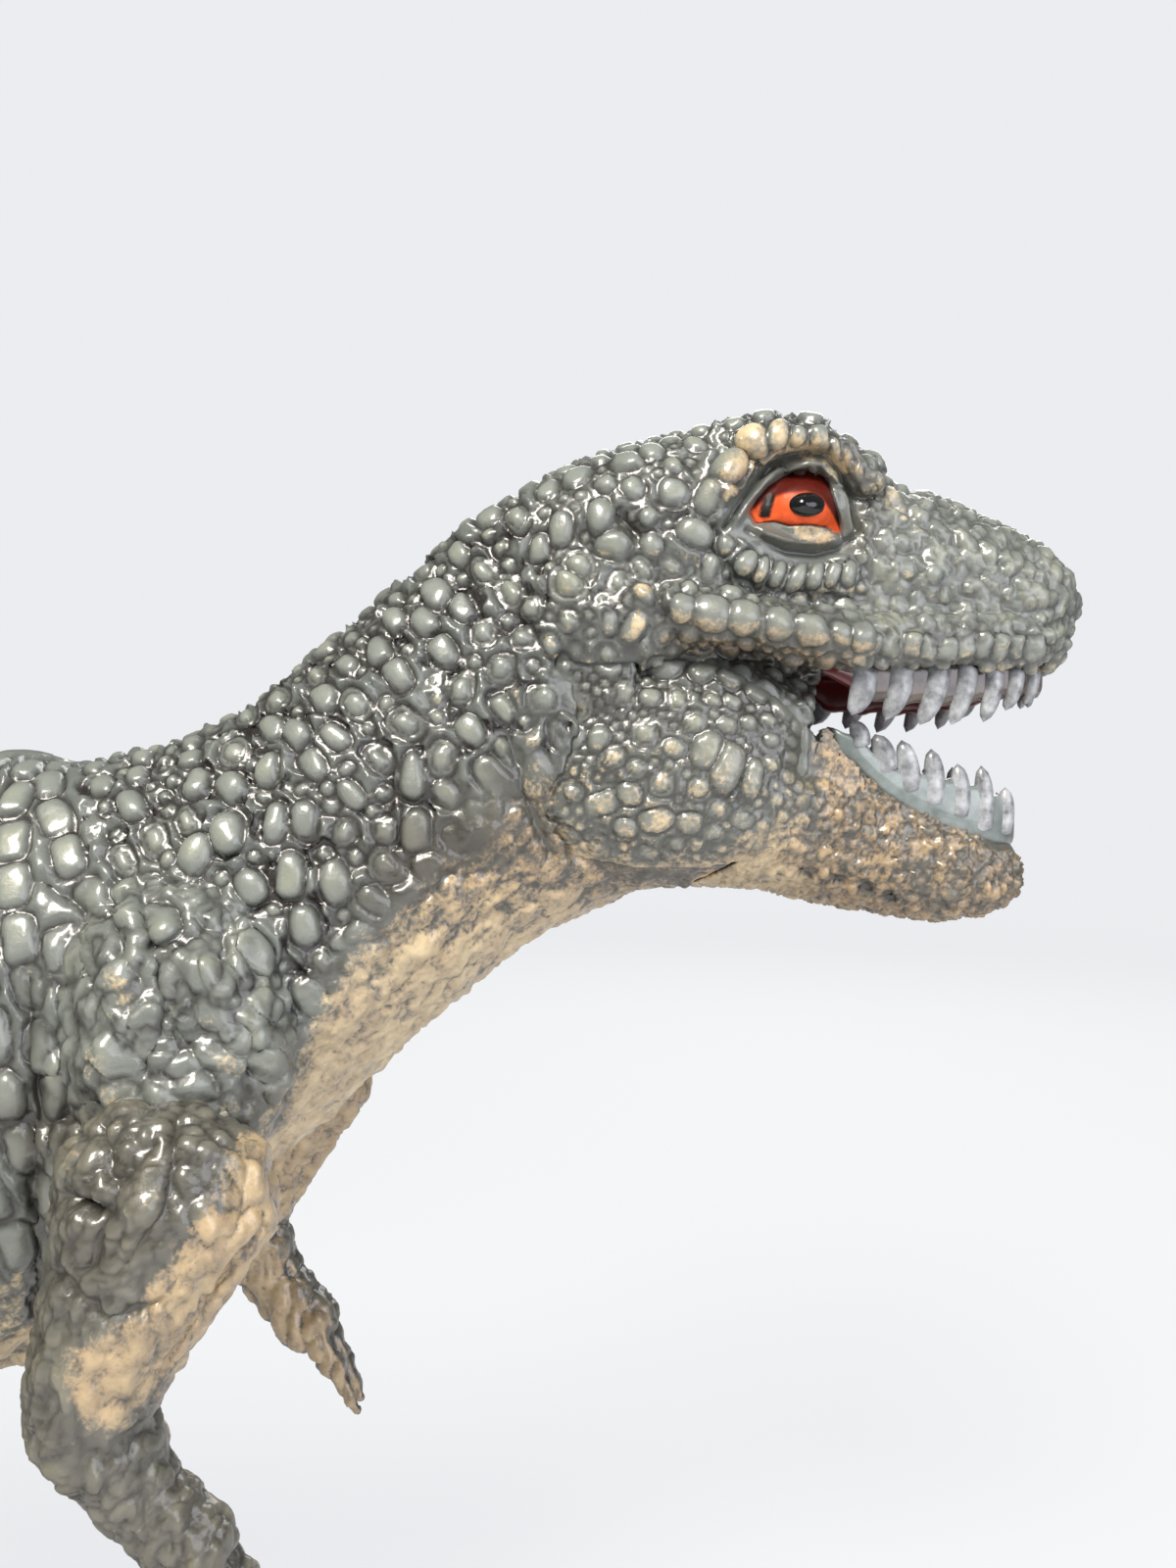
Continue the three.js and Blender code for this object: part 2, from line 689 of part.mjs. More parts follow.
// Tail with the spigot that is glued into the open end of the shells.
function tail() {
  const [joint] = trunkStations(0);
  const stations = tailShares.map(([along, drop, size]) => ({
    at: joint.at.clone().add(place(-along * tailLength - clearance, drop * tailLength)),
    half: joint.half * size,
    up: joint.up * size,
    down: joint.down * size,
  }));
  const [inner] = trunkStations(-wall - clearance);
  const spigot = [-overrun, spigotLength].map((x) => ({ ...inner, at: inner.at.clone().add(place(x, 0)) }));
  const form = solid(loft(stations, limbSides + 4, 18, { endDome: joint.half * 0.1 }));
  return form.subtract(trunkForm(0, clearance)).add(solid(loft(spigot, limbSides + 4, 1)));
}

// Half shells.

function hollow() {
  const stations = trunkStations(-wall).slice(0, hollowRows);
  const behind = { ...stations[0], at: stations[0].at.clone().add(place(-overrun, 0)) };
  return solid(loft([behind, ...stations], bodySides - 4, 10, { endDome: wall * 2, fullness: 0.92 }));
}

// Glue posts that meet at the seam. The right ones carry pegs, and the left ones have their holes.
function gluePost(form, where, side) {
  const { x, z } = bodyPoint(where);
  return barAcross(postRadius, x, z, 0, side * torsoWidth, limbSides).intersect(form);
}

const alignmentPeg = (where, grow) => {
  const { x, z } = bodyPoint(where);
  return barAcross(pegRadius + grow, x, z, -postRadius, pegLength + grow);
};

// Rounding can leave a point of the seam just off the middle plane, where it would cut into the other half.
function onSeam(half) {
  return half.warp((point) => {
    if (Math.abs(point[1]) < seamRounding) point[1] = 0;
  });
}

function bodyShell(side) {
  const form = join([torsoForm(side, 0), throatForm(), skullForm(), ...faceForms(side)]);
  const shoulder = bodyPoint(shoulderPlaceShares);
  const hip = bodyPoint(hipPlaceShares);
  const reach = side * torsoWidth;
  const open = cut(form, [
    hollow(),
    jawRoom(),
    roofRecess(),
    gullet(),
    sideCut(mouthShares.map((where) => headPoint(where)), 2 * headWidth),
    barAcross(armPegRadius + clearance, shoulder.x, shoulder.z, side * (pegStart - clearance), reach),
    barAcross(legPegRadius + clearance, hip.x, hip.z, side * (pegStart - clearance), reach),
    pinHole(),
  ]);
  const shell = join([open, ...postPlaceShares.map((where) => gluePost(form, where, side))]);
  const half = onSeam(mainPiece(shell.intersect(halfSpace(side))));
  return side < 0
    ? join([half, ...postPlaceShares.map((where) => alignmentPeg(where, 0))])
    : cut(half, postPlaceShares.map((where) => alignmentPeg(where, clearance)));
}

// Lower jaw.

function lowerJaw() {
  const grow = gumThickness / 2 + clearance;
  const trough = archPlate(lowerArchLength, lowerArchWidth, grow, overrun * 2, skullHeight);
  const reach = throatWidth / 2 + clearance;
  return cut(jawForm(0).add(barAcross(jawBossRadius, hinge.x, hinge.z, -flankWidth / 2, flankWidth / 2)), [
    sideCut(jawEdgeShares.map((where) => headPoint(where)), 2 * headWidth),
    solid(trough, lowerArchAt().multiply(shift(0, 0, -clearance))),
    barAcross(throatRadius + clearance, hinge.x, hinge.z, -reach, reach, bodySides * 3),
    pinHole(),
  ]);
}

// The figure.

const group = new THREE.Group();
for (const [name, side] of [
  ["right", -1],
  ["left", 1],
]) {
  group.add(meshOf(`body_shell_${name}`, bodyShell(side), vinylGrey));
  group.add(meshOf(`${name}_arm`, arm(side), vinylGrey));
  group.add(meshOf(`${name}_leg`, leg(side), vinylGrey));
}
group.add(
  meshOf("tail", tail(), vinylGrey),
  meshOf("lower_jaw", lowerJaw(), vinylGrey),
  meshOf("jaw_pin", jawPin(), pinPlastic),
  meshOf("upper_tooth_strip", upperTeeth(), toothPaint),
  meshOf("lower_tooth_strip", lowerTeeth(), toothPaint),
  meshOf("palate", palate(), mouthRed),
  meshOf("tongue", tongue(), mouthRed),
);

export default group;
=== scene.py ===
# %% [markdown]
# # A painted vinyl dinosaur
# The model comes in as a plain, smooth figure. This lesson gives it what a toy painter and a mould maker
# give it: a skin of raised scales, folds round the eye and shoulder, thick glossy paint and rows of teeth.
# Everything is worked out in millimetres and made metres at the end, because a scale is a few millimetres
# long.

# %% Load the figure
import math
from types import SimpleNamespace

import bmesh
import bpy
import numpy as np
from mathutils import Matrix, Vector, kdtree, noise
from mathutils.bvhtree import BVHTree


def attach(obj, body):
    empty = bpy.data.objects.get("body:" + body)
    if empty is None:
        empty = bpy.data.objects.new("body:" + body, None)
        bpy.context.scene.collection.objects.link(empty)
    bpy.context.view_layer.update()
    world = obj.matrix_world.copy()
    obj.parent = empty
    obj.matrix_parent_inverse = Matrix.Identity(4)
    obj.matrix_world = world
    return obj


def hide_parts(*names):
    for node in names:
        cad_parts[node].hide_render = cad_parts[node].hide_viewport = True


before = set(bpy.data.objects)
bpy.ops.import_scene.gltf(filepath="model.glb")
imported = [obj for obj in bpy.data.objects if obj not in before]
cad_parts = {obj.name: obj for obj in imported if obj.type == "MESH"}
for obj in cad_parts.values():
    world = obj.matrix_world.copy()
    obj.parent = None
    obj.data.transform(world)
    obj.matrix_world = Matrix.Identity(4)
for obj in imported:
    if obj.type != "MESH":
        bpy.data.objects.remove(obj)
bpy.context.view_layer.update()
MM = 0.001


def placed(name, data):
    """A new object in the scene."""
    obj = bpy.data.objects.new(name, data)
    bpy.context.scene.collection.objects.link(obj)
    return obj


print("pieces:", sorted(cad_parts))

# %% [markdown]
# ## Camera
# A phone held close to a small thing sees it with strong perspective. A long lens from far away would make
# the far arm as large as the near one, so the lens is a wide-angle of 27 mm. It is level, 150 mm from the
# middle of the figure, and looks across it at its right side.

# %% Camera
EYE_POINT = np.array([134.5, -150.0, 165.0])
LENS = 27.05
SENSOR = 36
PICTURE = (1200, 1600)
FOCUS = LENS / SENSOR * PICTURE[1]

camera = placed("camera", bpy.data.cameras.new("camera"))
camera.location = Vector(EYE_POINT * MM)
camera.rotation_euler = (math.pi / 2, 0, 0)
camera.data.lens = LENS
camera.data.sensor_width = SENSOR
camera.data.clip_start = 0.005
bpy.context.scene.camera = camera


def in_picture(points):
    """Where points in millimetres fall in the camera's picture, across and down."""
    away = points[:, 1] - EYE_POINT[1]
    across = PICTURE[0] / 2 + (points[:, 0] - EYE_POINT[0]) * FOCUS / away
    down = PICTURE[1] / 2 - (points[:, 2] - EYE_POINT[2]) * FOCUS / away
    return np.stack([across, down], 1)


print("focal length in picture points:", round(FOCUS))

# %% [markdown]
# ## Floor and light
# The figure stands on a plain pale floor. One large soft lamp at the upper left stands for a window and gives
# the small bright glints on the wet-looking paint. A wider, weaker one fills the right side, and a third
# lights the back and the tail from behind. The world is pale to the camera and dimmer to the figure, so the
# paint keeps its depth.


# %% Colours and nodes
def linear(hex_colour):
    """An sRGB hex colour as the linear values that a shader takes."""
    parts = [int(hex_colour[i : i + 2], 16) / 255 for i in (1, 3, 5)]
    return [c / 12.92 if c < 0.04045 else ((c + 0.055) / 1.055) ** 2.4 for c in parts] + [1.0]


def add(tree, kind, inputs=None, **settings):
    """Adds one node, with its settings, and its inputs as values or links."""
    node = tree.nodes.new(kind)
    for name, value in settings.items():
        setattr(node, name, value)
    for key, value in (inputs or {}).items():
        socket = node.inputs[key]
        if isinstance(value, bpy.types.NodeSocket):
            tree.links.new(value, socket)
        else:
            socket.default_value = value
    return node


# %% Lamps
def lamp(name, place, target, size, watts, colour):
    """A soft round lamp. Its place and size are in metres."""
    data = bpy.data.lights.new(name, "AREA")
    data.shape = "DISK"
    data.size = size
    data.energy = watts
    data.color = linear(colour)[:3]
    light = placed(name, data)
    light.location = Vector(place)
    light.rotation_euler = (Vector(target) - Vector(place)).to_track_quat("-Z", "Y").to_euler()


look_at = (0.13, 0, 0.17)
lamp("window", (0.0, -0.42, 0.62), look_at, 0.3, 6.6, "#fff9f0")
lamp("room", (0.6, -0.5, 0.34), look_at, 0.6, 3.0, "#f4f4ff")
lamp("back", (0.3, 0.7, 0.62), (0, 0, 0.12), 0.6, 2.8, "#ffffff")

# %% World
PALE = linear("#ebedf0")

world = bpy.data.worlds.new("pale_room")
bpy.context.scene.world = world
world.use_nodes = True
tree = world.node_tree
tree.nodes.clear()
seen = add(tree, "ShaderNodeLightPath").outputs["Is Camera Ray"]
dim = add(tree, "ShaderNodeBackground", {"Color": linear("#ffffff"), "Strength": 0.24}).outputs[0]
pale = add(tree, "ShaderNodeBackground", {"Color": PALE, "Strength": 1.0}).outputs[0]
both = add(tree, "ShaderNodeMixShader", {0: seen, 1: dim, 2: pale})
add(tree, "ShaderNodeOutputWorld", {"Surface": both.outputs[0]})
print("world:", world.name)

# %% [markdown]
# The floor is a board with matt white paint, which shows soft shadows and no glints. To the camera it fades
# with distance into the colour of the world, so no edge shows behind the figure. To the figure it is plain.

# %% Floor
HALF_FLOOR = 3

floor_mesh = bpy.data.meshes.new("floor")
corners = [(HALF_FLOOR * x, HALF_FLOOR * y, 0) for x, y in ((-1, -1), (1, -1), (1, 1), (-1, 1))]
floor_mesh.from_pydata(corners, [], [(0, 1, 2, 3)])
floor = placed("floor", floor_mesh)
board = bpy.data.materials.new("white_painted_board")
board.use_nodes = True
tree = board.node_tree
tree.nodes.clear()
seen = add(tree, "ShaderNodeLightPath").outputs["Is Camera Ray"]
plain = add(tree, "ShaderNodeBsdfDiffuse", {"Color": linear("#dcdcde")}).outputs[0]
shade = add(tree, "ShaderNodeBsdfDiffuse", {"Color": linear("#747474")}).outputs[0]
place = add(tree, "ShaderNodeTexCoord").outputs["Object"]
away = add(tree, "ShaderNodeVectorMath", {0: place}, operation="LENGTH").outputs["Value"]
far = {"Value": away, "From Min": 0.3, "From Max": 1.6, "To Min": 0.86, "To Max": 0.945}
fades = add(tree, "ShaderNodeMapRange", far).outputs[0]
glow = add(tree, "ShaderNodeEmission", {"Color": PALE, "Strength": fades}).outputs[0]
lit = add(tree, "ShaderNodeAddShader", {0: shade, 1: glow}).outputs[0]
both = add(tree, "ShaderNodeMixShader", {0: seen, 1: plain, 2: lit})
add(tree, "ShaderNodeOutputMaterial", {"Surface": both.outputs[0]})
floor_mesh.materials.append(board)
bpy.context.scene.view_settings.view_transform = "Standard"
print("floor:", board.name)

# %% [markdown]
# ## An even skin
# The figure's halves are made of long flat faces, which can't carry scales. Subdividing them would keep their
# long shapes and their edges. A voxel remesh lays even squares over a piece instead. Plain smoothing would
# shrink it, so Taubin smoothing is used: a step towards the neighbours, and a slightly longer one back.

# %% Helpers for skins
# A point this close to the middle plane, in millimetres, lies on it.
ON_SEAM = 1e-4
TOWARDS, BACK = 0.5, 0.52


def points_of(mesh):
    flat = np.empty(len(mesh.vertices) * 3, np.float32)
    mesh.vertices.foreach_get("co", flat)
    return flat.reshape(-1, 3).astype(float)


def move_points(mesh, points):
    mesh.vertices.foreach_set("co", points.astype(np.float32).ravel())
    mesh.update()


def outward(mesh):
    flat = np.empty(len(mesh.vertices) * 3, np.float32)
    mesh.vertex_normals.foreach_get("vector", flat)
    return flat.reshape(-1, 3).astype(float)


def relax(mesh, rounds):
    """Taubin smoothing. Points on the middle plane stay on it."""
    points = points_of(mesh)
    seam = np.abs(points[:, 1]) < ON_SEAM
    ends = np.empty(len(mesh.edges) * 2, np.int32)
    mesh.edges.foreach_get("vertices", ends)
    a, b = ends.reshape(-1, 2).T
    size = len(points)
    count = np.maximum(np.bincount(np.r_[a, b], minlength=size), 1)[:, None]
    for _ in range(rounds):
        for pull in (TOWARDS, -BACK):
            total = [
                np.bincount(a, points[b, k], size) + np.bincount(b, points[a, k], size) for k in range(3)
            ]
            points += pull * (np.stack(total, 1) / count - points)
    points[seam, 1] = 0
    move_points(mesh, points)


def lift(mesh, heights):
    """Moves points outwards. A point on the middle plane stays on it, where the two halves meet."""
    points, normals = points_of(mesh), outward(mesh)
    seam = np.abs(points[:, 1]) < ON_SEAM
    normals[seam, 1] = 0
    normals /= np.maximum(np.linalg.norm(normals, axis=1), 1e-9)[:, None]
    move_points(mesh, points + normals * heights[:, None])


def push_back(mesh, depths):
    """Moves points straight away from the camera, so that a hollow keeps its outline in the picture."""
    points = points_of(mesh)
    sight = points - EYE_POINT
    sight /= np.linalg.norm(sight, axis=1)[:, None]
    move_points(mesh, points + sight * depths[:, None])


# %% Skins from modifiers
def made_mesh(obj):
    """The mesh that an object's modifiers make of it. The object itself is thrown away."""
    done = bpy.data.meshes.new_from_object(obj.evaluated_get(bpy.context.evaluated_depsgraph_get()))
    bpy.data.objects.remove(obj)
    return done


# A piece stays under 200,000 triangles. Limbs and tail need fewer, because their plates are plainer.
MOST_TRIANGLES = {"body_shell": 190000, "lower_jaw": 150000}
MOST_OTHERS = 120000


def thin(mesh, most):
    """Takes out points where the skin is flat, until no more than so many triangles are left."""
    triangles = sum(len(p.vertices) - 2 for p in mesh.polygons)
    obj = placed(mesh.name, mesh)
    decimate = obj.modifiers.new("fewer", "DECIMATE")
    decimate.ratio = min(1.0, most / triangles)
    return made_mesh(obj)


def even_skin(name, nodes, voxel, rounds):
    """One closed skin of even squares over CAD pieces, in millimetres."""
    bm = bmesh.new()
    for node in nodes:
        bm.from_mesh(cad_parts[node].data)
    bmesh.ops.remove_doubles(bm, verts=bm.verts, dist=1e-6)
    bmesh.ops.scale(bm, vec=(1 / MM,) * 3, verts=bm.verts)
    mesh = bpy.data.meshes.new(name)
    bm.to_mesh(mesh)
    bm.free()
    obj = placed(name, mesh)
    remesh = obj.modifiers.new("squares", "REMESH")
    remesh.mode = "VOXEL"
    remesh.voxel_size = voxel
    done = made_mesh(obj)
    relax(done, rounds)
    return done


# %% [markdown]
# The two half shells are remeshed together, so no step shows where they meet, and then cut apart again at the
# middle plane. The walls of the hollow can't be seen: a face there looks straight at another face of the
# shell. Those are dropped. The head, neck and shoulder get squares of half the size, because they are looked
# at closely, and the eye gets finer ones still.

# %% Skin of one half shell
# Places along the body in millimetres: where the hollow ends, and where the skin gets smaller squares.
HOLLOW_TO = 126
CLOSE_FROM = 55
# The eye's place in the picture, and how far out from the middle plane the side of the head starts.
EYE_BOX = ((738, 418), (892, 612))
CHEEK = -3


def inside_box(where, box):
    return np.all((where > np.array(box[0])) & (where < np.array(box[1])), axis=1)


def half_skin():
    mesh = even_skin("half", ["body_shell_right", "body_shell_left"], voxel=0.7, rounds=7)
    bm = bmesh.new()
    bm.from_mesh(mesh)
    bm.faces.ensure_lookup_table()
    tree = BVHTree.FromBMesh(bm)
    hidden = []
    for face in bm.faces:
        middle = face.calc_center_median()
        if middle.x < HOLLOW_TO and tree.ray_cast(middle + face.normal * 0.5, face.normal, 100)[0]:
            hidden.append(face)
    bmesh.ops.delete(bm, geom=hidden, context="FACES")
    everything = bm.verts[:] + bm.edges[:] + bm.faces[:]
    bmesh.ops.bisect_plane(bm, geom=everything, plane_co=(0, 0, 0), plane_no=(0, 1, 0), clear_outer=True)
    start = max(bm.verts, key=lambda v: v.co.z)
    kept, edge = {start}, [start]
    while edge:
        beside = [e.other_vert(v) for v in edge for e in v.link_edges]
        edge = [v for v in dict.fromkeys(beside) if v not in kept]
        kept.update(edge)
    bmesh.ops.delete(bm, geom=[v for v in bm.verts if v not in kept], context="VERTS")
    close = [e for e in bm.edges if min(v.co.x for v in e.verts) > CLOSE_FROM]
    bmesh.ops.subdivide_edges(bm, edges=close, cuts=1, use_grid_fill=True)
    at_eye = inside_box(in_picture(np.array([v.co for v in bm.verts])), EYE_BOX)
    bm.verts.index_update()
    fine = [e for e in bm.edges if all(at_eye[v.index] and v.co.y < CHEEK for v in e.verts)]
    bmesh.ops.subdivide_edges(bm, edges=fine, cuts=1, use_grid_fill=True)
    bm.normal_update()
    bm.to_mesh(mesh)
    bm.free()
    relax(mesh, 4)
    return mesh


half = half_skin()
print("half shell:", len(half.vertices), "points")

# %% [markdown]
# ## Folds and creases
# The sculptor's big strokes come first: the brow, the lids, the crease behind the eye, the folds of the
# shoulder. They could be sculpted by hand, but lines in a script can be changed one by one. Each is a line
# drawn over the side view, with a width in picture points and a height in millimetres. Skin near the line
# moves out for a fold and in for a crease, and fades off to both sides.


# %% Strokes
def near_line(where, line, width):
    """1 on a line drawn in the picture, fading to 0 a few widths away."""
    best = np.full(len(where), 1e9)
    for a, b in zip(np.array(line[:-1], float), np.array(line[1:], float)):
        t = np.clip((where - a) @ (b - a) / ((b - a) @ (b - a)), 0, 1)
        best = np.minimum(best, np.linalg.norm(where - a - t[:, None] * (b - a), axis=1))
    return np.exp(-((best / width) ** 2))


def ramp(values, low, high):
    t = np.clip((values - low) / (high - low), 0, 1)
    return t * t * (3 - 2 * t)


def within(where, outline):
    """Signed distance from an outline drawn in the picture, positive inside, in picture points."""
    best = np.full(len(where), 1e9)
    turns = np.zeros(len(where), bool)
    corners = np.array(outline, float)
    for a, b in zip(corners, np.roll(corners, -1, axis=0)):
        t = np.clip((where - a) @ (b - a) / ((b - a) @ (b - a)), 0, 1)
        best = np.minimum(best, np.linalg.norm(where - a - t[:, None] * (b - a), axis=1))
        crosses = (a[1] > where[:, 1]) != (b[1] > where[:, 1])
        rise = b[1] - a[1] if b[1] != a[1] else 1e-9
        turns ^= crosses & (where[:, 0] < a[0] + (where[:, 1] - a[1]) / rise * (b[0] - a[0]))
    return np.where(turns, best, -best)


# %% Lines of the folds and creases
# The outline of the eye, and one outside both lids.
ALMOND = [
    (765, 522), (773, 509), (784, 497), (798, 487), (814, 481), (833, 479), (841, 488), (848, 502),
    (855, 527), (859, 551), (847, 538), (826, 534), (805, 535), (790, 531), (771, 534),
]
LIDS = [
    (741, 537), (757, 512), (777, 485), (800, 468), (824, 462), (842, 464), (858, 484), (872, 540),
    (868, 558), (832, 568), (803, 566), (764, 545),
]
# Each stroke is its height in millimetres, its width in picture points, and its line in the picture.
SHELL_STROKES = [
    (1.3, 12, [(738, 500), (752, 472), (785, 448), (828, 444), (858, 462), (876, 492)]),
    (0.9, 12, [(648, 607), (690, 620), (760, 634), (830, 642), (900, 652)]),
    (1.0, 5, [
        (750, 529), (762, 512), (780, 493), (801, 479), (822, 472), (838, 473), (850, 488), (859, 514),
        (866, 542),
    ]),
    (1.1, 8, [(776, 545), (800, 551), (830, 553), (852, 550)]),
    (1.0, 14, [(756, 578), (800, 592), (862, 588)]),
    (0.9, 12, [(880, 478), (897, 500)]),
    (-0.9, 3.5, [
        (741, 537), (757, 512), (777, 485), (800, 468), (824, 462), (842, 464), (858, 484), (866, 512),
        (874, 540),
    ]),
    (-0.8, 6, [(731, 540), (735, 566), (752, 592), (790, 612), (822, 622)]),
    (-0.6, 3.5, [(764, 541), (780, 552), (803, 563), (832, 566), (854, 560), (868, 550)]),
    (-1.4, 9, [(628, 520), (650, 545)]),
    (-1.0, 7, [(668, 596), (676, 626)]),
    (-0.9, 8, [(520, 740), (532, 800), (560, 870)]),
    (-0.5, 6, [(519, 817), (593, 818)]),
    (-0.7, 12, [(42, 1103), (46, 1152), (105, 1120), (133, 1134), (186, 1138), (228, 1127)]),
    (-1.0, 12, [(175, 1060), (195, 1062)]),
    (1.0, 20, [(110, 960), (128, 1040), (110, 1090)]),
    (0.9, 20, [(200, 990), (250, 1030), (285, 1100)]),
    (-0.8, 9, [(150, 940), (168, 1030), (150, 1090)]),
    (-1.2, 12, [(30, 1000), (38, 1330)]),
    (-0.8, 8, [(45, 900), (85, 930), (95, 1000)]),
]
ARM_STROKES = [
    (-2.2, 9, [(72, 1224), (96, 1236)]),
    (-0.8, 9, [(105, 1150), (120, 1215), (90, 1290)]),
    (-0.7, 8, [(180, 1150), (175, 1220), (130, 1290)]),
    (-0.7, 8, [(60, 1300), (110, 1345), (160, 1330)]),
    (-0.5, 3, [(290, 1205), (262, 1262), (225, 1310), (152, 1418)]),
]
# A crease this deep, in millimetres, is filled with dark wash, which is also painted shade in the crease.
DEEP_CREASE = 1.4


def sculpt(mesh, strokes):
    """Moves the skin in and out along strokes, and returns how deep in a crease each point lies."""
    points, normals = points_of(mesh), outward(mesh)
    where = in_picture(points)
    facing = ramp(-normals[:, 1], 0.0, 0.35)
    depth = np.zeros(len(points))
    move = np.zeros(len(points))
    for height, width, line in strokes:
        near = near_line(where, line, width) * facing
        move += height * near
        if height < 0:
            depth = np.maximum(depth, near * min(1, -height / DEEP_CREASE))
    lift(mesh, move)
    return depth


print("strokes:", len(SHELL_STROKES), "on the half shell and", len(ARM_STROKES), "on the arm")

# %% [markdown]
# ## Scales
# A scale is an oval plate with its own place, direction, length and width. Every point of the skin belongs to
# the plate whose edge it is nearest to. Inside the edge the plate is a flat dome, along the edge runs a
# narrow moat, and outside it the skin stands up again as a web between the moats. Pebbles, beads with a ring
# in them and squarish slabs are cut into the mould. Small beads fill the corners. Throat and belly have
# wrinkles instead. A bump in the paint alone would look flat along the outline of the head, and a Voronoi
# pattern gives no say over single scales, so the plates are listed and then raised on the mesh.

# %% Noise for skin
rng = np.random.default_rng(7)
# Without a seed of its own, noise_vector takes its offsets from the clock.
noise.seed_set(7)


def wobble(points, wavelength, seed):
    """A smooth vector of noise for each point, alike for points closer than a wavelength."""
    shift = Vector((seed * 17.3, seed * 5.1, seed * 9.7))
    return np.array([noise.noise_vector(Vector(p) / wavelength + shift) for p in points])


def roughness(points, wavelength, seed, octaves=3):
    shift = Vector((seed * 11.9, seed * 7.7, seed * 3.1))
    return np.array([noise.fractal(Vector(p) / wavelength + shift, 0.8, 2.1, octaves) for p in points])


def creased(points, wavelength, seed, octaves=3):
    """Rounded lumps from 0 to about 1 with sharp creases between them, and 1 in a crease for the paint."""
    value = roughness(points, wavelength, seed, octaves)
    return np.minimum(np.abs(value) * 2, 1.2), np.exp(-((value / 0.07) ** 2))


def leather(points):
    """Skin of throat and belly: long wrinkles along the neck, crossed by fine ones."""
    neck = np.array([0.75, 0, 0.66])
    flat = points - np.outer(points @ neck, neck) * 0.45
    broad, broad_crease = creased(flat, 3.6, 5)
    fine, fine_crease = creased(flat, 1.5, 6)
    return 0.5 * broad + 0.22 * fine, np.maximum(broad_crease, 0.6 * fine_crease)


# %% Plates
PEBBLE, BEAD, SLAB = 0, 1, 2
# How wide a moat is in millimetres, and how far out on a bead its ring lies.
MOAT = 0.3
BEAD_RING = 0.66
# Plates stand apart by this share of the sum of their places, where half would be edge to edge.
CLOSER = 0.44
# A plate fills this much of its place.
FILLED = 0.82
# Plates are noted in boxes of this size, in millimetres, so that only near ones are compared.
CELL = 6.0
AROUND = [(i, j, k) for i in (-1, 0, 1) for j in (-1, 0, 1) for k in (-1, 0, 1)]


def cell_of(place):
    return tuple(c // CELL for c in place)


class Plates:
    """A list of plates, with ways to place them."""

    def __init__(self):
        self.place, self.along, self.size, self.kind = [], [], [], []

    def put(self, place, along, long, wide, kind):
        self.place.append(place)
        self.along.append(along / max(np.linalg.norm(along), 1e-9))
        self.size.append((long / 2, wide / 2))
        self.kind.append(kind)

    def row(self, points, normals, line, count, long, wide, kind):
        """Puts plates at even steps on a line drawn in the picture. The long way lies along the line."""
        front = np.flatnonzero(normals[:, 1] < -0.1)
        where = in_picture(points[front])
        line = np.array(line, float)
        lengths = np.r_[0, np.cumsum(np.linalg.norm(np.diff(line, axis=0), axis=1))]
        for i in range(count):
            at = lengths[-1] * (i + 0.5) / count
            spot, ahead, behind = (
                np.array([np.interp(at + step, lengths, line[:, k]) for k in (0, 1)]) for step in (0, 4, -4)
            )
            step = ahead - behind
            close = np.argsort(np.sum((where - spot) ** 2, axis=1))[:6]
            pick = front[close[np.argmin(points[front[close], 1])]]
            self.put(points[pick], np.array([step[0], 0, -step[1]]), long, wide, kind)

    def table(self, points, normals, places, both_sides=False):
        """Puts plates one by one: place in the picture, size across and up, turn in degrees, kind."""
        front = np.flatnonzero(normals[:, 1] < -0.05)
        where = in_picture(points[front])
        for x, y, across, up, degrees, kind in places:
            close = np.argsort(np.sum((where - (x, y)) ** 2, axis=1))[:6]
            spot = points[front[close[np.argmin(points[front[close], 1])]]]
            scale = (spot[1] - EYE_POINT[1]) / FOCUS
            turn = math.radians(degrees)
            along = np.array([math.sin(turn), 0, math.cos(turn)])
            for side in (1, -1) if both_sides else (1,):
                self.put(spot * (1, side, 1), along, up * scale, across * scale, kind)

    def ring(self, points, angle, along, gap, long, wide):
        """Puts slabs at even steps round the body on points of one ring."""
        bins = np.floor((angle - angle.min()) / 0.04).astype(int)
        middles = np.array([points[bins == b].mean(axis=0) for b in np.unique(bins)])
        lengths = np.r_[0, np.cumsum(np.linalg.norm(np.diff(middles, axis=0), axis=1))]
        at = gap * rng.uniform(0.2, 0.8)
        while at < lengths[-1]:
            spot = [np.interp(at, lengths, middles[:, k]) for k in range(3)]
            pick = np.argmin(np.sum((points - spot) ** 2, axis=1))
            vary = rng.uniform(0.8, 1.12)
            self.put(points[pick], along[pick], long * vary, wide * rng.uniform(0.88, 1.05), SLAB)
            at += gap * vary

    def fill(self, points, spacing, kinds, along, stretch, tries):
        """Drops plates on the skin until no more fit, or no more tries are left."""
        boxes = {}
        for place, (a, b) in zip(self.place, self.size):
            reach = math.sqrt(a * b) * 2 / FILLED
            boxes.setdefault(cell_of(place), []).append((*place, reach))
        for i in rng.permutation(np.flatnonzero(spacing > 0))[:tries].tolist():
            gap = spacing[i]
            x, y, z = cell_of(points[i])
            near = [n for i_x, i_y, i_z in AROUND for n in boxes.get((x + i_x, y + i_y, z + i_z), ())]
            if all(math.dist(points[i], n[:3]) >= (n[3] + gap) * CLOSER for n in near):
                boxes.setdefault((x, y, z), []).append((*points[i], gap))
                vary = rng.uniform(0.85, 1.1) * FILLED
                self.put(points[i], along[i], gap * stretch[i] * vary, gap / stretch[i] * vary, kinds[i])


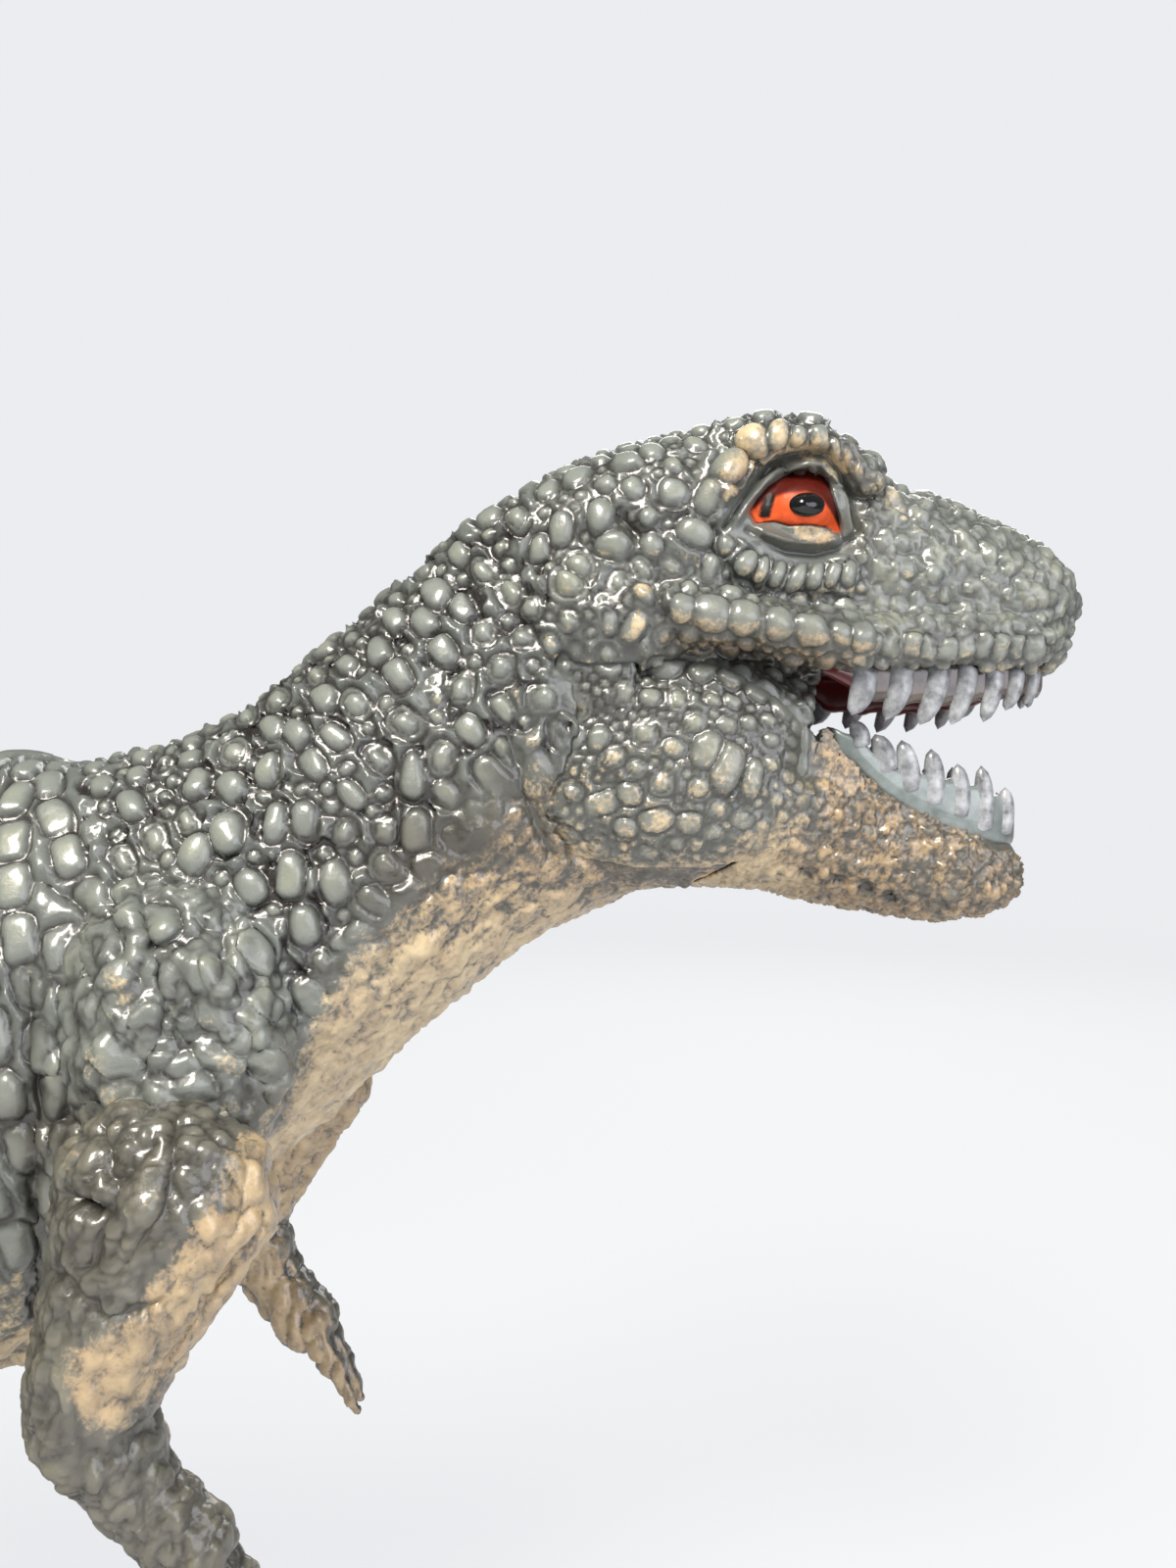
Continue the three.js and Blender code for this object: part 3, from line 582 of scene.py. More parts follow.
# %% Raise plates
def raise_plates(mesh, plates, rise, mask, narrow=1.4):
    """Raises every plate on the skin. Returns how much each point is groove and crown."""
    points = points_of(mesh)
    place, along = np.array(plates.place), np.array(plates.along)
    size, kind = np.array(plates.size), np.array(plates.kind)
    tree = kdtree.KDTree(len(place))
    for i, p in enumerate(place):
        tree.insert(p, i)
    tree.balance()
    # Each point looks at the nine nearest plates. The wobble makes their edges uneven.
    bent = points + wobble(points, 4.0, 1) * 0.45
    near = np.array([[n[1] for n in tree.find_n(p, 9)] for p in bent])
    delta = bent[:, None, :] - place[near]
    u = np.sum(delta * along[near], axis=2)
    v = np.sqrt(np.maximum(np.sum(delta**2, axis=2) - u**2, 0))
    a, b = size[near, 0], size[near, 1]
    radius = np.sqrt(a * b)
    # A higher power makes an oval squarer.
    power = np.where(kind[near] == SLAB, 3.6, 2.6)
    oval = ((np.abs(u) / a) ** power + (v / b) ** power) ** (1 / power)
    edge = (oval - 1) * radius
    order = np.argsort(edge, axis=1)[:, :2]
    edge = np.take_along_axis(edge, order, 1)
    # The way out from its own plate's edge, below 0 on the plate, and half the way to the next plate's.
    first, border = edge[:, 0], (edge[:, 1] - edge[:, 0]) / 2
    own = np.take_along_axis(near, order[:, :1], 1)[:, 0]
    radius = np.sqrt(size[own, 0] * size[own, 1])
    share = np.clip(1 + first / radius, 0, 1)
    border = np.minimum(border, np.where(first > 0, 9, border))
    # The height of each kind of plate at the point, as a share of its rise.
    moat = np.exp(-(((first - 0.06) / MOAT) ** 2))
    web = 0.58 * ramp(first, 0.15, 1.0)
    meet = np.exp(-((border / MOAT) ** 2)) * (first < 0.1)
    pebble = np.where(first < 0, 0.5 + 0.5 * (1 - share**2.5), 0.5) * (1 - 0.9 * moat) + web
    ring = np.exp(-(((share - BEAD_RING) / 0.1) ** 2))
    knob = 0.25 + 0.65 * np.sqrt(np.maximum(1 - (share / BEAD_RING) ** 2, 0))
    bead = (np.where(share < BEAD_RING, knob, 0.5) - 0.4 * ring) * (1 - 0.8 * moat) + web
    k = kind[own]
    shape = np.choose(k, [pebble, bead, 0.75 * pebble]) * (1 - 0.7 * meet)
    tone = rng.uniform(-1, 1, len(place))[own]
    high = rise * np.minimum(radius, 2.4) * (1 + 0.2 * tone)
    lift(mesh, high * shape * mask)
    # The dark wash, partly painted shade, also runs into the ring of a bead.
    groove = np.maximum(moat, meet) ** narrow
    groove = np.where(k == BEAD, np.maximum(groove, 0.8 * ring), groove)
    crown = np.where(first < 0, 1 - share**2, 0) * (radius > 0.6)
    return groove, crown


# %% [markdown]
# ## Where each kind of scale grows
# On the back the plates stand in rings round the body. On the neck they are pebbles, on the cheek and jaw
# beads, on the snout small bumps, and on throat and belly wrinkles. The lines and places are drawn in the
# picture.

# %% Along the body
SPINE = np.array([
    (-36, 141), (-18, 139), (8, 133), (37, 130), (60, 130), (82, 136), (104, 152), (118, 167), (140, 182),
])


def along_spine(points):
    """Length along the body, and the body's direction there."""
    steps = np.diff(SPINE, axis=0)
    lengths = np.linalg.norm(steps, axis=1)
    starts = np.r_[0, np.cumsum(lengths)[:-1]]
    flat = points[:, [0, 2]]
    best, at, way = np.full(len(points), 1e9), np.zeros(len(points)), np.zeros((len(points), 3))
    for a, step, length, start in zip(SPINE[:-1], steps, lengths, starts):
        t = np.clip((flat - a) @ step / length**2, 0, 1)
        off = np.linalg.norm(flat - a - t[:, None] * step, axis=1)
        nearer = off < best
        best = np.where(nearer, off, best)
        at = np.where(nearer, start + t * length, at)
        way[nearer] = np.array([step[0], 0, step[1]]) / length
    return at, way


def below(where, line):
    """How far points of the picture lie below a line drawn from left to right, in picture points."""
    line = np.array(line, float)
    return where[:, 1] - np.interp(where[:, 0], line[:, 0], line[:, 1])


# %% Places on the half shell
SHOULDER = [(40, 1000), (95, 905), (190, 890), (262, 950), (298, 1050), (290, 1120), (235, 1200), (40, 1200)]
FRONT_LIP = [(903, 659), (980, 665), (1066, 662)]
LIP = [(693, 626), (796, 637), (888, 655)]
THROAT = [(430, 880), (560, 850), (700, 880)]
# Where the chest is kept paler, as painted light from below.
CHEST_PAINTED_LIGHT = [(330, 1120), (230, 1340)]
# Below this line the paint turns cream.
CREAM_LINE = [
    (-200, 1400), (60, 1380), (190, 1210), (270, 1120), (310, 1040), (345, 965), (430, 880), (500, 800),
    (540, 770), (600, 830), (900, 830),
]

# %% Plates that stand out
# Plates on the face: place in the picture, size across and up, turn in degrees and kind.
FACE_PLATES = [
    (741, 474, 38, 46, 20, PEBBLE), (767, 450, 36, 36, -15, PEBBLE), (793, 446, 25, 46, 14, PEBBLE),
    (815, 449, 14, 38, 8, PEBBLE), (834, 455, 20, 42, -14, PEBBLE), (851, 463, 13, 34, -26, PEBBLE),
    (864, 470, 15, 32, -32, PEBBLE), (877, 483, 17, 32, -38, PEBBLE), (889, 498, 15, 26, -44, PEBBLE),
    (720, 502, 28, 44, 12, PEBBLE), (711, 545, 44, 30, 20, PEBBLE), (690, 500, 34, 30, 0, PEBBLE),
    (762, 573, 17, 38, 30, PEBBLE), (779, 579, 16, 42, 28, PEBBLE), (797, 584, 16, 44, 26, PEBBLE),
    (815, 588, 16, 44, 22, PEBBLE), (833, 589, 16, 42, 18, PEBBLE), (850, 586, 15, 38, 14, PEBBLE),
    (866, 581, 14, 32, 10, PEBBLE), (727, 580, 20, 34, 10, PEBBLE),
    (696, 627, 27, 46, 12, SLAB), (727, 630, 35, 44, 8, SLAB), (762, 631, 32, 48, 4, SLAB),
    (796, 641, 29, 50, -2, SLAB), (830, 645, 36, 42, -8, SLAB), (860, 652, 22, 38, -8, SLAB),
    (884, 651, 24, 36, 0, SLAB),
    (658, 601, 32, 24, 40, PEBBLE), (646, 640, 24, 44, 24, PEBBLE), (622, 640, 18, 30, 0, PEBBLE),
    (610, 522, 28, 42, 0, PEBBLE), (570, 540, 28, 38, 10, PEBBLE), (588, 487, 34, 30, 0, PEBBLE),
    (640, 470, 38, 30, 0, PEBBLE), (560, 500, 26, 30, 0, PEBBLE), (663, 462, 30, 26, 0, PEBBLE),
    (548, 560, 24, 34, 10, PEBBLE), (622, 560, 40, 30, 30, PEBBLE), (590, 575, 36, 36, 0, BEAD),
    (493, 643, 30, 30, 0, BEAD), (469, 698, 30, 34, 0, BEAD), (513, 678, 32, 32, 0, BEAD),
    (555, 713, 36, 34, 0, BEAD), (579, 678, 32, 32, 0, BEAD), (605, 689, 28, 28, 0, BEAD),
    (577, 594, 40, 40, 0, BEAD), (540, 620, 30, 30, 0, BEAD), (530, 650, 26, 26, 0, BEAD),
    (915, 515, 18, 36, -30, PEBBLE), (938, 527, 18, 34, -30, PEBBLE), (961, 540, 19, 36, -30, PEBBLE),
    (985, 551, 18, 32, -30, PEBBLE), (1008, 562, 18, 30, -34, PEBBLE),
    (230, 850, 36, 50, 0, PEBBLE), (278, 838, 30, 48, 0, PEBBLE), (312, 835, 28, 44, 0, PEBBLE),
    (236, 768, 34, 42, 0, BEAD), (272, 782, 30, 44, 0, PEBBLE), (298, 890, 30, 52, 0, PEBBLE),
    (345, 900, 30, 54, -10, PEBBLE), (352, 845, 26, 30, 0, BEAD), (395, 850, 28, 28, 0, BEAD),
    (418, 790, 26, 52, 0, PEBBLE), (450, 770, 28, 40, 0, BEAD), (430, 850, 30, 50, 6, PEBBLE),
    (315, 945, 34, 44, -15, PEBBLE), (200, 870, 34, 44, 10, PEBBLE), (200, 800, 30, 46, 0, PEBBLE),
]
JAW_PLATES = [
    (680, 674, 36, 44, 25, PEBBLE), (717, 678, 36, 44, 28, PEBBLE), (748, 689, 32, 36, 30, PEBBLE),
    (778, 696, 30, 38, 32, PEBBLE), (806, 712, 30, 36, 34, PEBBLE), (826, 735, 24, 34, 30, PEBBLE),
    (720, 764, 34, 40, 20, PEBBLE), (743, 784, 38, 54, 20, PEBBLE), (770, 794, 22, 48, 16, PEBBLE),
    (612, 819, 38, 26, -20, PEBBLE), (667, 838, 38, 24, -10, PEBBLE), (702, 842, 30, 24, 0, PEBBLE),
    (638, 709, 28, 30, 0, BEAD), (588, 722, 30, 30, 0, BEAD), (658, 747, 28, 28, 0, BEAD),
    (710, 735, 24, 24, 0, BEAD), (788, 779, 22, 24, 0, BEAD), (676, 801, 28, 28, 0, BEAD),
    (714, 804, 26, 28, 0, BEAD), (568, 777, 34, 24, 0, BEAD), (585, 750, 28, 26, 0, PEBBLE),
    (612, 752, 26, 30, 0, PEBBLE), (625, 772, 26, 26, 0, BEAD), (690, 712, 24, 30, 0, BEAD),
    (640, 812, 30, 26, 0, PEBBLE), (560, 745, 30, 30, 0, BEAD),
]
print("drawn plates:", len(FACE_PLATES), "on the half and", len(JAW_PLATES), "on each side of the jaw")

# %% Places of the paint
# Cream patches on the face: outlines in the picture.
CREAM_SPOTS = [
    [(746, 448), (766, 434), (783, 440), (783, 456), (768, 472), (752, 468)],
    [(785, 430), (799, 431), (808, 450), (801, 466), (789, 460)],
    [(828, 440), (836, 446), (838, 458), (830, 452)],
    [(872, 470), (880, 476), (880, 488), (873, 482)],
    [(640, 602), (662, 588), (674, 598), (656, 618)],
    [(640, 650), (646, 618), (658, 612), (662, 630), (650, 652)],
    [(806, 537), (828, 535), (850, 541), (856, 552), (838, 556), (812, 550)],
    [(110, 1005), (130, 1000), (142, 1020), (130, 1038)],
]
# Where a dry brush has left some cream: strength, width and line in the picture.
DUSTED = [
    (0.75, 9, [(690, 652), (760, 658), (830, 668), (880, 672)]),
    (0.7, 5, [(880, 680), (980, 684), (1066, 680)]),
    (0.6, 14, [(884, 492), (906, 512), (932, 532)]),
    (0.9, 15, [(744, 496), (765, 470), (803, 454), (840, 458), (862, 474)]),
    (0.55, 14, [(770, 592), (820, 605), (868, 598)]),
    (0.55, 16, [(115, 985), (132, 1030)]),
    (0.55, 16, [(208, 1050), (240, 1095)]),
    (0.5, 16, [(100, 1080), (120, 1110)]),
    (0.6, 30, [(60, 1230), (110, 1200), (170, 1170), (260, 1130)]),
    (0.55, 16, [(520, 700), (560, 790), (640, 850)]),
    (0.5, 12, [(560, 650), (620, 690), (640, 730)]),
    (0.5, 14, [(440, 690), (455, 760)]),
]
# Where brown stain has gathered, in the same way.
STAINED = [
    (0.9, 20, [(690, 655), (780, 662), (850, 674)]),
    (0.8, 40, [(40, 1150), (120, 1160), (200, 1180)]),
    (0.9, 8, [(778, 545), (805, 553), (845, 556)]),
    (0.5, 16, [(744, 496), (770, 480), (840, 465)]),
    (0.8, 15, [(866, 466), (884, 515), (872, 556)]),
]


def brushed(where, table):
    return np.maximum.reduce([strength * near_line(where, line, width) for strength, width, line in table])


print("brushed places:", len(CREAM_SPOTS), "spots,", len(DUSTED), "cream and", len(STAINED), "brown")

# %% [markdown]
# The half shell is dressed in four steps. The strokes are sculpted and a fillet is raised where the arm is
# glued on. Every point is told what region of the body it is in. The plates are placed: first the drawn ones,
# then the rings, then large and small ones where there is room. Last, plates and wrinkles are raised, and
# what was raised is kept as guides for the paint.


# %% Shape and regions of the half shell
# In millimetres: where the neck starts, how high the throat reaches, and how far along the body rings go.
NECK_FROM = 78
CHEEK_LINE = 178
RINGS_TO = 131
# Plates grow where the cream is less than this.
PLATED = 0.6


def shape_half(mesh, arm_tree):
    """Sculpts folds, the fillet at the arm and the eye's socket, and returns the depth in creases."""
    crease = sculpt(mesh, SHELL_STROKES)
    points = points_of(mesh)
    near_arm = np.array([arm_tree.find_nearest(p, 7)[3] or 7 for p in points])
    lift(mesh, 1.3 * (1 - ramp(near_arm, 0, 6)))
    socket = ramp(within(in_picture(points), ALMOND), -3.5, 1.5) * (points[:, 1] < CHEEK)
    push_back(mesh, 1.5 * socket)
    relax(mesh, 1)
    return crease


def regions_of(points, normals):
    """Where each point lies, as yes or no or as a share that fades at the region's edge."""
    where = in_picture(points)
    px, py = where[:, 0], where[:, 1]
    x, z = points[:, 0], points[:, 2]
    at, way = along_spine(points)
    face = (px > 560) & (z > 172)
    under_neck = ramp(below(where, CREAM_LINE), -45, 75) * (z < CHEEK_LINE)
    return SimpleNamespace(
        where=where,
        px=px,
        py=py,
        at=at,
        around=np.cross(way, normals),
        angle=np.arctan2(z - np.interp(x, SPINE[:, 0], SPINE[:, 1]), -points[:, 1]),
        cream=np.where(x > NECK_FROM, under_neck, ramp(-normals[:, 2], 0.2, 0.7)),
        snout=ramp(px, 850, 900) * (z > 176),
        face=face,
        neck=(at > 128) & ~face,
        lumpy=ramp(within(where, SHOULDER), -25, 25) * (normals[:, 1] < 0.2) * (x > 50),
        near_side=normals[:, 1] < 0,
    )


# %% Plates of the half shell
def plates_of_half(points, normals, on):
    plates = Plates()
    plates.table(points, normals, FACE_PLATES)
    plates.row(points, normals, FRONT_LIP, 9, 2.2, 3.0, SLAB)
    # Large plates are this far apart in millimetres on the face, the neck and the back.
    spacing = np.where(on.face, 3.4, np.where(on.neck, 4.7, 5.2))
    spacing = np.where(on.snout > 0.5, 2.3, spacing)
    spacing = spacing * (1 + 0.22 * wobble(points, 9.0, 3)[:, 0])
    spacing = np.where(on.cream > PLATED, 0, spacing)
    kinds = np.full(len(points), PEBBLE)
    kinds[(on.px > 530) & (on.px < 700) & (on.py > 560) & (on.cream < 0.5)] = BEAD
    kinds[on.neck & (rng.random(len(points)) < 0.3)] = BEAD
    stretch = np.where(on.face, 1.08, np.where(on.neck, 1.22, 1.16))
    ringed = (on.at < RINGS_TO) & (on.cream < PLATED)
    pitch = 4.7
    for number in range(int(RINGS_TO / pitch) + 1):
        near = np.flatnonzero(ringed & (np.abs(on.at / pitch - number) < 0.08))
        if len(near) > 20:
            plates.ring(points[near], on.angle[near], on.around[near], gap=6.4, long=5.9, wide=3.9)
    plates.fill(points, np.where(ringed, 0, spacing), kinds, on.around, stretch, 30000)
    large = len(plates.place)
    sparse = rng.random(len(points)) < np.where(on.face, np.where(on.px > 680, 0.2, 0.5), 0.1)
    small = np.where(on.face, 1.7, 2.2) * sparse * ~ringed * (on.cream < PLATED)
    some = np.full(len(points), PEBBLE)
    some[(kinds == BEAD) | (rng.random(len(points)) < 0.4)] = BEAD
    plates.fill(points, small, some, on.around, np.ones(len(points)), 25000)
    print("plates on a half:", large, "large and", len(plates.place) - large, "small")
    return plates


# %% Raise and paint the half shell
def dress_half(mesh, jaw_tree, arm_tree):
    crease = shape_half(mesh, arm_tree)
    points, normals = points_of(mesh), outward(mesh)
    on = regions_of(points, normals)
    plates = plates_of_half(points, normals, on)
    cream, snout, lumpy = on.cream, on.snout, on.lumpy
    # Round the eye and close to the jaw the skin stays low.
    bare = ramp(within(on.where, LIDS), -12, -4) * on.near_side
    gap = np.array([jaw_tree.find_nearest(p, 4)[3] or 4 for p in points])
    mask = (1 - bare) * (0.2 + 0.8 * ramp(gap, 0.4, 1.3))
    lip = near_line(on.where, LIP, 22)
    flat_part = np.clip(1 - cream * 1.3, 0, 1) * (1 - 0.45 * lumpy)
    flat_part = flat_part * (1 - 0.4 * snout * (on.py < 645)) * (1 - 0.3 * lip)
    # On the neck the wash is spread wider, as painted shade in the deep hollows between the plates.
    narrow = np.where(on.face, 1.6, np.where(on.neck, 0.7, 1.0))
    groove, crown = raise_plates(mesh, plates, 0.52, mask * flat_part, narrow)
    # Pits between the plates of the neck, painted dark as painted shade between the plates, then wrinkles,
    # lumps of the shoulder and bumps of the snout.
    hollows = ramp(roughness(points, 2.4, 21, 1), 0.06, 0.3) * on.neck * (crown < 0.05) * flat_part
    groove, crown = np.maximum(groove, hollows) * flat_part, crown * flat_part
    leathery, wrinkles = leather(points)
    lumps, folds = creased(points * (1.2, 1, 0.8) + wobble(points, 5.0, 12) * 1.2, 3.8, 8, 1)
    knobs, nicks = creased(points, 2.2, 10, 1)
    bumps, dents = creased(points, 3.4, 4)
    grit = leathery * np.minimum(cream * 1.4, 1) + (lumps * 0.65 + knobs * 0.4) * lumpy + bumps * 0.48 * snout
    grit += 0.25 * bumps * lip + 0.08 * roughness(points, 1.5, 15, 1) - 0.55 * hollows
    uneven = roughness(points, 6.0, 9)
    lift(mesh, (grit + uneven * 0.4) * mask + 0.12 * (1 - ramp(gap, 0.3, 1.0)))
    relax(mesh, 1)
    # The guides for the paint.
    crown = np.maximum.reduce([crown, lumps * lumpy, 0.8 * bumps * snout])
    stain = np.exp(-(((below(on.where, CREAM_LINE) - 15) / 50) ** 2))
    stain = stain * (points[:, 0] > 70) * (points[:, 2] < CHEEK_LINE)
    stain = stain * ramp(roughness(points, 6.0, 11), -0.3, 0.5)
    # On the chest the wash in the wrinkles is halved, a painted light for light thrown up onto the chest from
    # below.
    wrinkled = wrinkles * cream * (1 - 0.5 * near_line(on.where, CHEST_PAINTED_LIGHT, 90))
    folded = np.maximum(folds, 0.5 * nicks) * lumpy
    groove = np.maximum.reduce([groove, wrinkled, folded, 0.5 * dents * snout, 0.75 * stain])
    # Under the jaw the throat is browned and its cream thinned: partly its own brown, partly painted shade
    # below the jaw.
    throat = near_line(on.where, THROAT, 60)
    soil_and_shade = np.maximum.reduce([throat, 0.5 * stain, brushed(on.where, STAINED)])
    under = ramp(-outward(mesh)[:, 2], -0.1, 0.55) * on.near_side
    cream = cream * (1 - 0.42 * throat)
    cream = np.maximum(cream, under * np.maximum(0.68 * lip, 0.5 * on.face * (on.py > 560)))
    spots = np.maximum.reduce([0.8 * ramp(within(on.where, spot), -4, 4) for spot in CREAM_SPOTS])
    cream = np.maximum(cream, np.maximum(spots, brushed(on.where, DUSTED)) * on.near_side)
    return {"groove": np.maximum(groove * mask, crease), "crown": crown * mask, "cream": cream, "soil_and_shade": soil_and_shade}


# %% Dress the half shell
def keep(mesh, **guides):
    """Stores guides on a mesh for its paint to read."""
    for name, values in guides.items():
        guide = mesh.attributes.new(name, "FLOAT", "POINT")
        guide.data.foreach_set("value", np.clip(values, -1, 1).astype(np.float32))


def tree_of(mesh):
    return BVHTree.FromPolygons(points_of(mesh).tolist(), [p.vertices[:] for p in mesh.polygons])


jaw_skin = even_skin("jaw", ["lower_jaw"], voxel=0.33, rounds=8)
arm_skin = even_skin("arm", ["right_arm"], voxel=0.4, rounds=26)
plain_half = tree_of(half)
keep(half, **dress_half(half, tree_of(jaw_skin), tree_of(arm_skin)))
half = thin(half, MOST_TRIANGLES["body_shell"])
print("half shell after thinning:", len(half.vertices), "points")

# %% [markdown]
# ## Jaw, arms, legs and tail
# The other pieces are dressed in the same way, with smaller plates towards the ends of the limbs. The jaw's
# skin is also taken in where it would touch the upper teeth when the mouth closes.

# %% Room for the upper teeth
# The jaw's hinge as x and z, how far it closes, and the upper row of teeth as x and half its width.
HINGE = (135.4, 178.1)
CLOSES = math.radians(12)
UPPER_LINE = [
    (162.0, 11.5), (166.5, 11.0), (174.2, 10.1), (181.7, 8.9), (187.6, 6.7), (190.3, 3.4), (190.7, 0),
]
# How far inside the teeth the jaw's sides stay, and how high its rim is at the corner of the mouth.
CLEARANCE = 0.85
RIM_HEIGHT = 171.3


def clear_teeth(mesh):
    """Takes the jaw's sides in where they pass behind the upper teeth as the mouth closes."""
    points = points_of(mesh)
    ahead, up = points[:, 0] - HINGE[0], points[:, 2] - HINGE[1]
    x = HINGE[0] + ahead * math.cos(CLOSES) - up * math.sin(CLOSES)
    z = HINGE[1] + ahead * math.sin(CLOSES) + up * math.cos(CLOSES)
    widest = np.interp(x, *np.array(UPPER_LINE).T) - CLEARANCE
    over = np.maximum(np.abs(points[:, 1]) - widest, 0) * ramp(x, 158.2, 162.6) * (1 - ramp(x, 172, 174))
    points[:, 1] -= np.sign(points[:, 1]) * over * ramp(z, 168.8, 172.4)
    rim_end = ramp(points[:, 0], 160.8, 162.0) * (1 - ramp(points[:, 0], 164.6, 166.0))
    points[:, 2] -= 0.8 * np.maximum(points[:, 2] - RIM_HEIGHT, 0) * rim_end
    move_points(mesh, points)


# %% Dress the jaw
JAW_CREAM = [
    (480, 780), (560, 800), (640, 850), (720, 845), (770, 815), (820, 800), (860, 830), (960, 890),
    (1040, 905),
]
JAW_PITS = [(820, 890), (853, 895), (881, 905), (905, 914)]


def dress_jaw(mesh, body_tree):
    points, normals = points_of(mesh), outward(mesh)
    where = in_picture(np.stack([points[:, 0], -np.abs(points[:, 1]), points[:, 2]], 1))
    px, py = where[:, 0], where[:, 1]
    cream = ramp(below(where, JAW_CREAM), -30, 75)
    front = ramp(px, 780, 860)
    wrinkly = np.maximum(front, cream)
    outer = ramp(np.abs(normals[:, 1]) - normals[:, 2], -0.1, 0.3)
    gap = np.array([body_tree.find_nearest(p, 4)[3] or 4 for p in points])
    mask = outer * (0.2 + 0.8 * ramp(gap, 0.4, 1.3))
    # Plates get smaller towards the chin.
    spacing = np.interp(px, [560, 700, 800, 960], [3.7, 3.1, 2.7, 2.0])
    spacing *= 1 + 0.3 * wobble(points, 7.0, 4)[:, 0]
    kinds = np.where((px < 800) & (py > 690) & (rng.random(len(points)) < 0.7), BEAD, PEBBLE)
    along = np.tile([1.0, 0, -0.4], (len(points), 1))
    plates = Plates()
    plates.table(points, normals, JAW_PLATES, both_sides=True)
    plates.fill(points, spacing, kinds, along, np.full(len(points), 1.12), 30000)
    large = len(plates.place)
    plates.fill(points, np.full(len(points), 1.5), kinds, along, np.ones(len(points)), 25000)
    print("plates on the jaw:", large, "large and", len(plates.place) - large, "small")
    groove, crown = raise_plates(mesh, plates, 0.46, mask * (1 - 0.75 * wrinkly), 1.2)
    bumps, dents = creased(points, 1.7, 5)
    lift(mesh, (bumps * (0.15 + 0.4 * wrinkly)) * mask)
    pits = np.maximum.reduce([near_line(where, [(x, y), (x + 5, y + 2)], 6) for x, y in JAW_PITS])
    lift(mesh, -0.7 * pits * mask + 0.12 * (1 - ramp(gap, 0.3, 1.0)))
    clear_teeth(mesh)
    under = ramp(-outward(mesh)[:, 2], 0.0, 0.6)
    groove = np.maximum.reduce([groove * (1 - 0.7 * wrinkly), 0.7 * dents * wrinkly, pits])
    dusty = [0.66 * front, cream * (1 - 0.2 * front), 0.5 * ramp(py, 700, 800), 0.55 * under]
    cream = np.maximum.reduce(dusty) * outer
    return {"groove": groove * mask, "crown": crown * mask, "cream": cream, "soil_and_shade": 0.2 + 0.75 * front}


keep(jaw_skin, **dress_jaw(jaw_skin, plain_half))


# %% Dress arms and legs
def dress_limb(mesh, spacing_at, cream_at, rise, lump, soil_and_shade, strokes=()):
    """rise is how high the plates stand, and lump how much the skin is lumps instead of plates."""
    crease = sculpt(mesh, strokes) if strokes else np.zeros(len(mesh.vertices))
    points, normals = points_of(mesh), outward(mesh)
    cream = cream_at(points, normals)
    along = np.cross(normals, np.tile([0.3, 0.2, 1.0], (len(points), 1)))
    kinds = np.full(len(points), PEBBLE)
    spacing = spacing_at(points) * (1 + 0.25 * wobble(points, 8.0, 6)[:, 0])
    plates = Plates()
    plates.fill(points, spacing, kinds, along, rng.uniform(0.95, 1.3, len(points)), 20000)
    plates.fill(points, spacing * 0.45, kinds, along, np.ones(len(points)), 15000)
    groove, crown = raise_plates(mesh, plates, rise, 1 - 0.8 * cream)
    lumps, folds = creased(points * (1.3, 1.3, 0.7), 3.6, 8, 2)
    lift(mesh, lumps * (lump + 0.2 * cream) + roughness(points, 5.0, 9) * 0.25)
    crown = np.maximum(crown * 0.6, lumps)
    stain = 0.9 * lump * ramp(roughness(points, 5.0, 14), -0.4, 0.5)
    flat_part = np.clip(1 - 0.8 * cream - lump * 0.8, 0, 1)
    groove = np.maximum.reduce([groove * flat_part, 0.8 * folds, crease, stain])
    return {"groove": groove, "crown": crown, "cream": cream, "soil_and_shade": soil_and_shade * (1 - 0.4 * cream)}


def arm_spacing(points):
    return np.where(points[:, 2] < 84, 2.2, 3.2)


def leg_spacing(points):
    return np.interp(points[:, 2], [0, 30, 110], [2.2, 3.2, 4.8])


def arm_cream(points, normals):
    where = in_picture(points)
    front = near_line(where, [(300, 1150), (235, 1270), (165, 1370), (110, 1410)], 55)
    dusty = 0.4 * ramp(roughness(points, 5.0, 13), 0.0, 0.5)
    return np.maximum.reduce([ramp(front, 0.1, 0.9), ramp(normals[:, 1], 0.3, 0.8), dusty])


def leg_cream(points, normals):
    return ramp(np.sign(points[:, 1]) * -normals[:, 1], 0.35, 0.8) * ramp(points[:, 2], 20, 40)


keep(arm_skin, **dress_limb(arm_skin, arm_spacing, arm_cream, 0.22, 0.42, 0.9, ARM_STROKES))
skins = {"lower_jaw": jaw_skin, "right_arm": arm_skin}
for name in ("right_leg", "left_leg"):
    skins[name] = even_skin(name, [name], voxel=0.7, rounds=12)
    keep(skins[name], **dress_limb(skins[name], leg_spacing, leg_cream, 0.34, 0.25, 0.2))
print("limbs:", {name: len(mesh.vertices) for name, mesh in skins.items()})

# %% Dress the tail
# The tail's rings get closer towards its tip. Its plates start where it leaves the shells.
TAIL_STEPS = np.linspace(-200, -20, 721)
TAIL_PITCH = np.interp(TAIL_STEPS, [-196, -120, -30], [2.4, 3.5, 4.7])
TAIL_FROM = -29.2


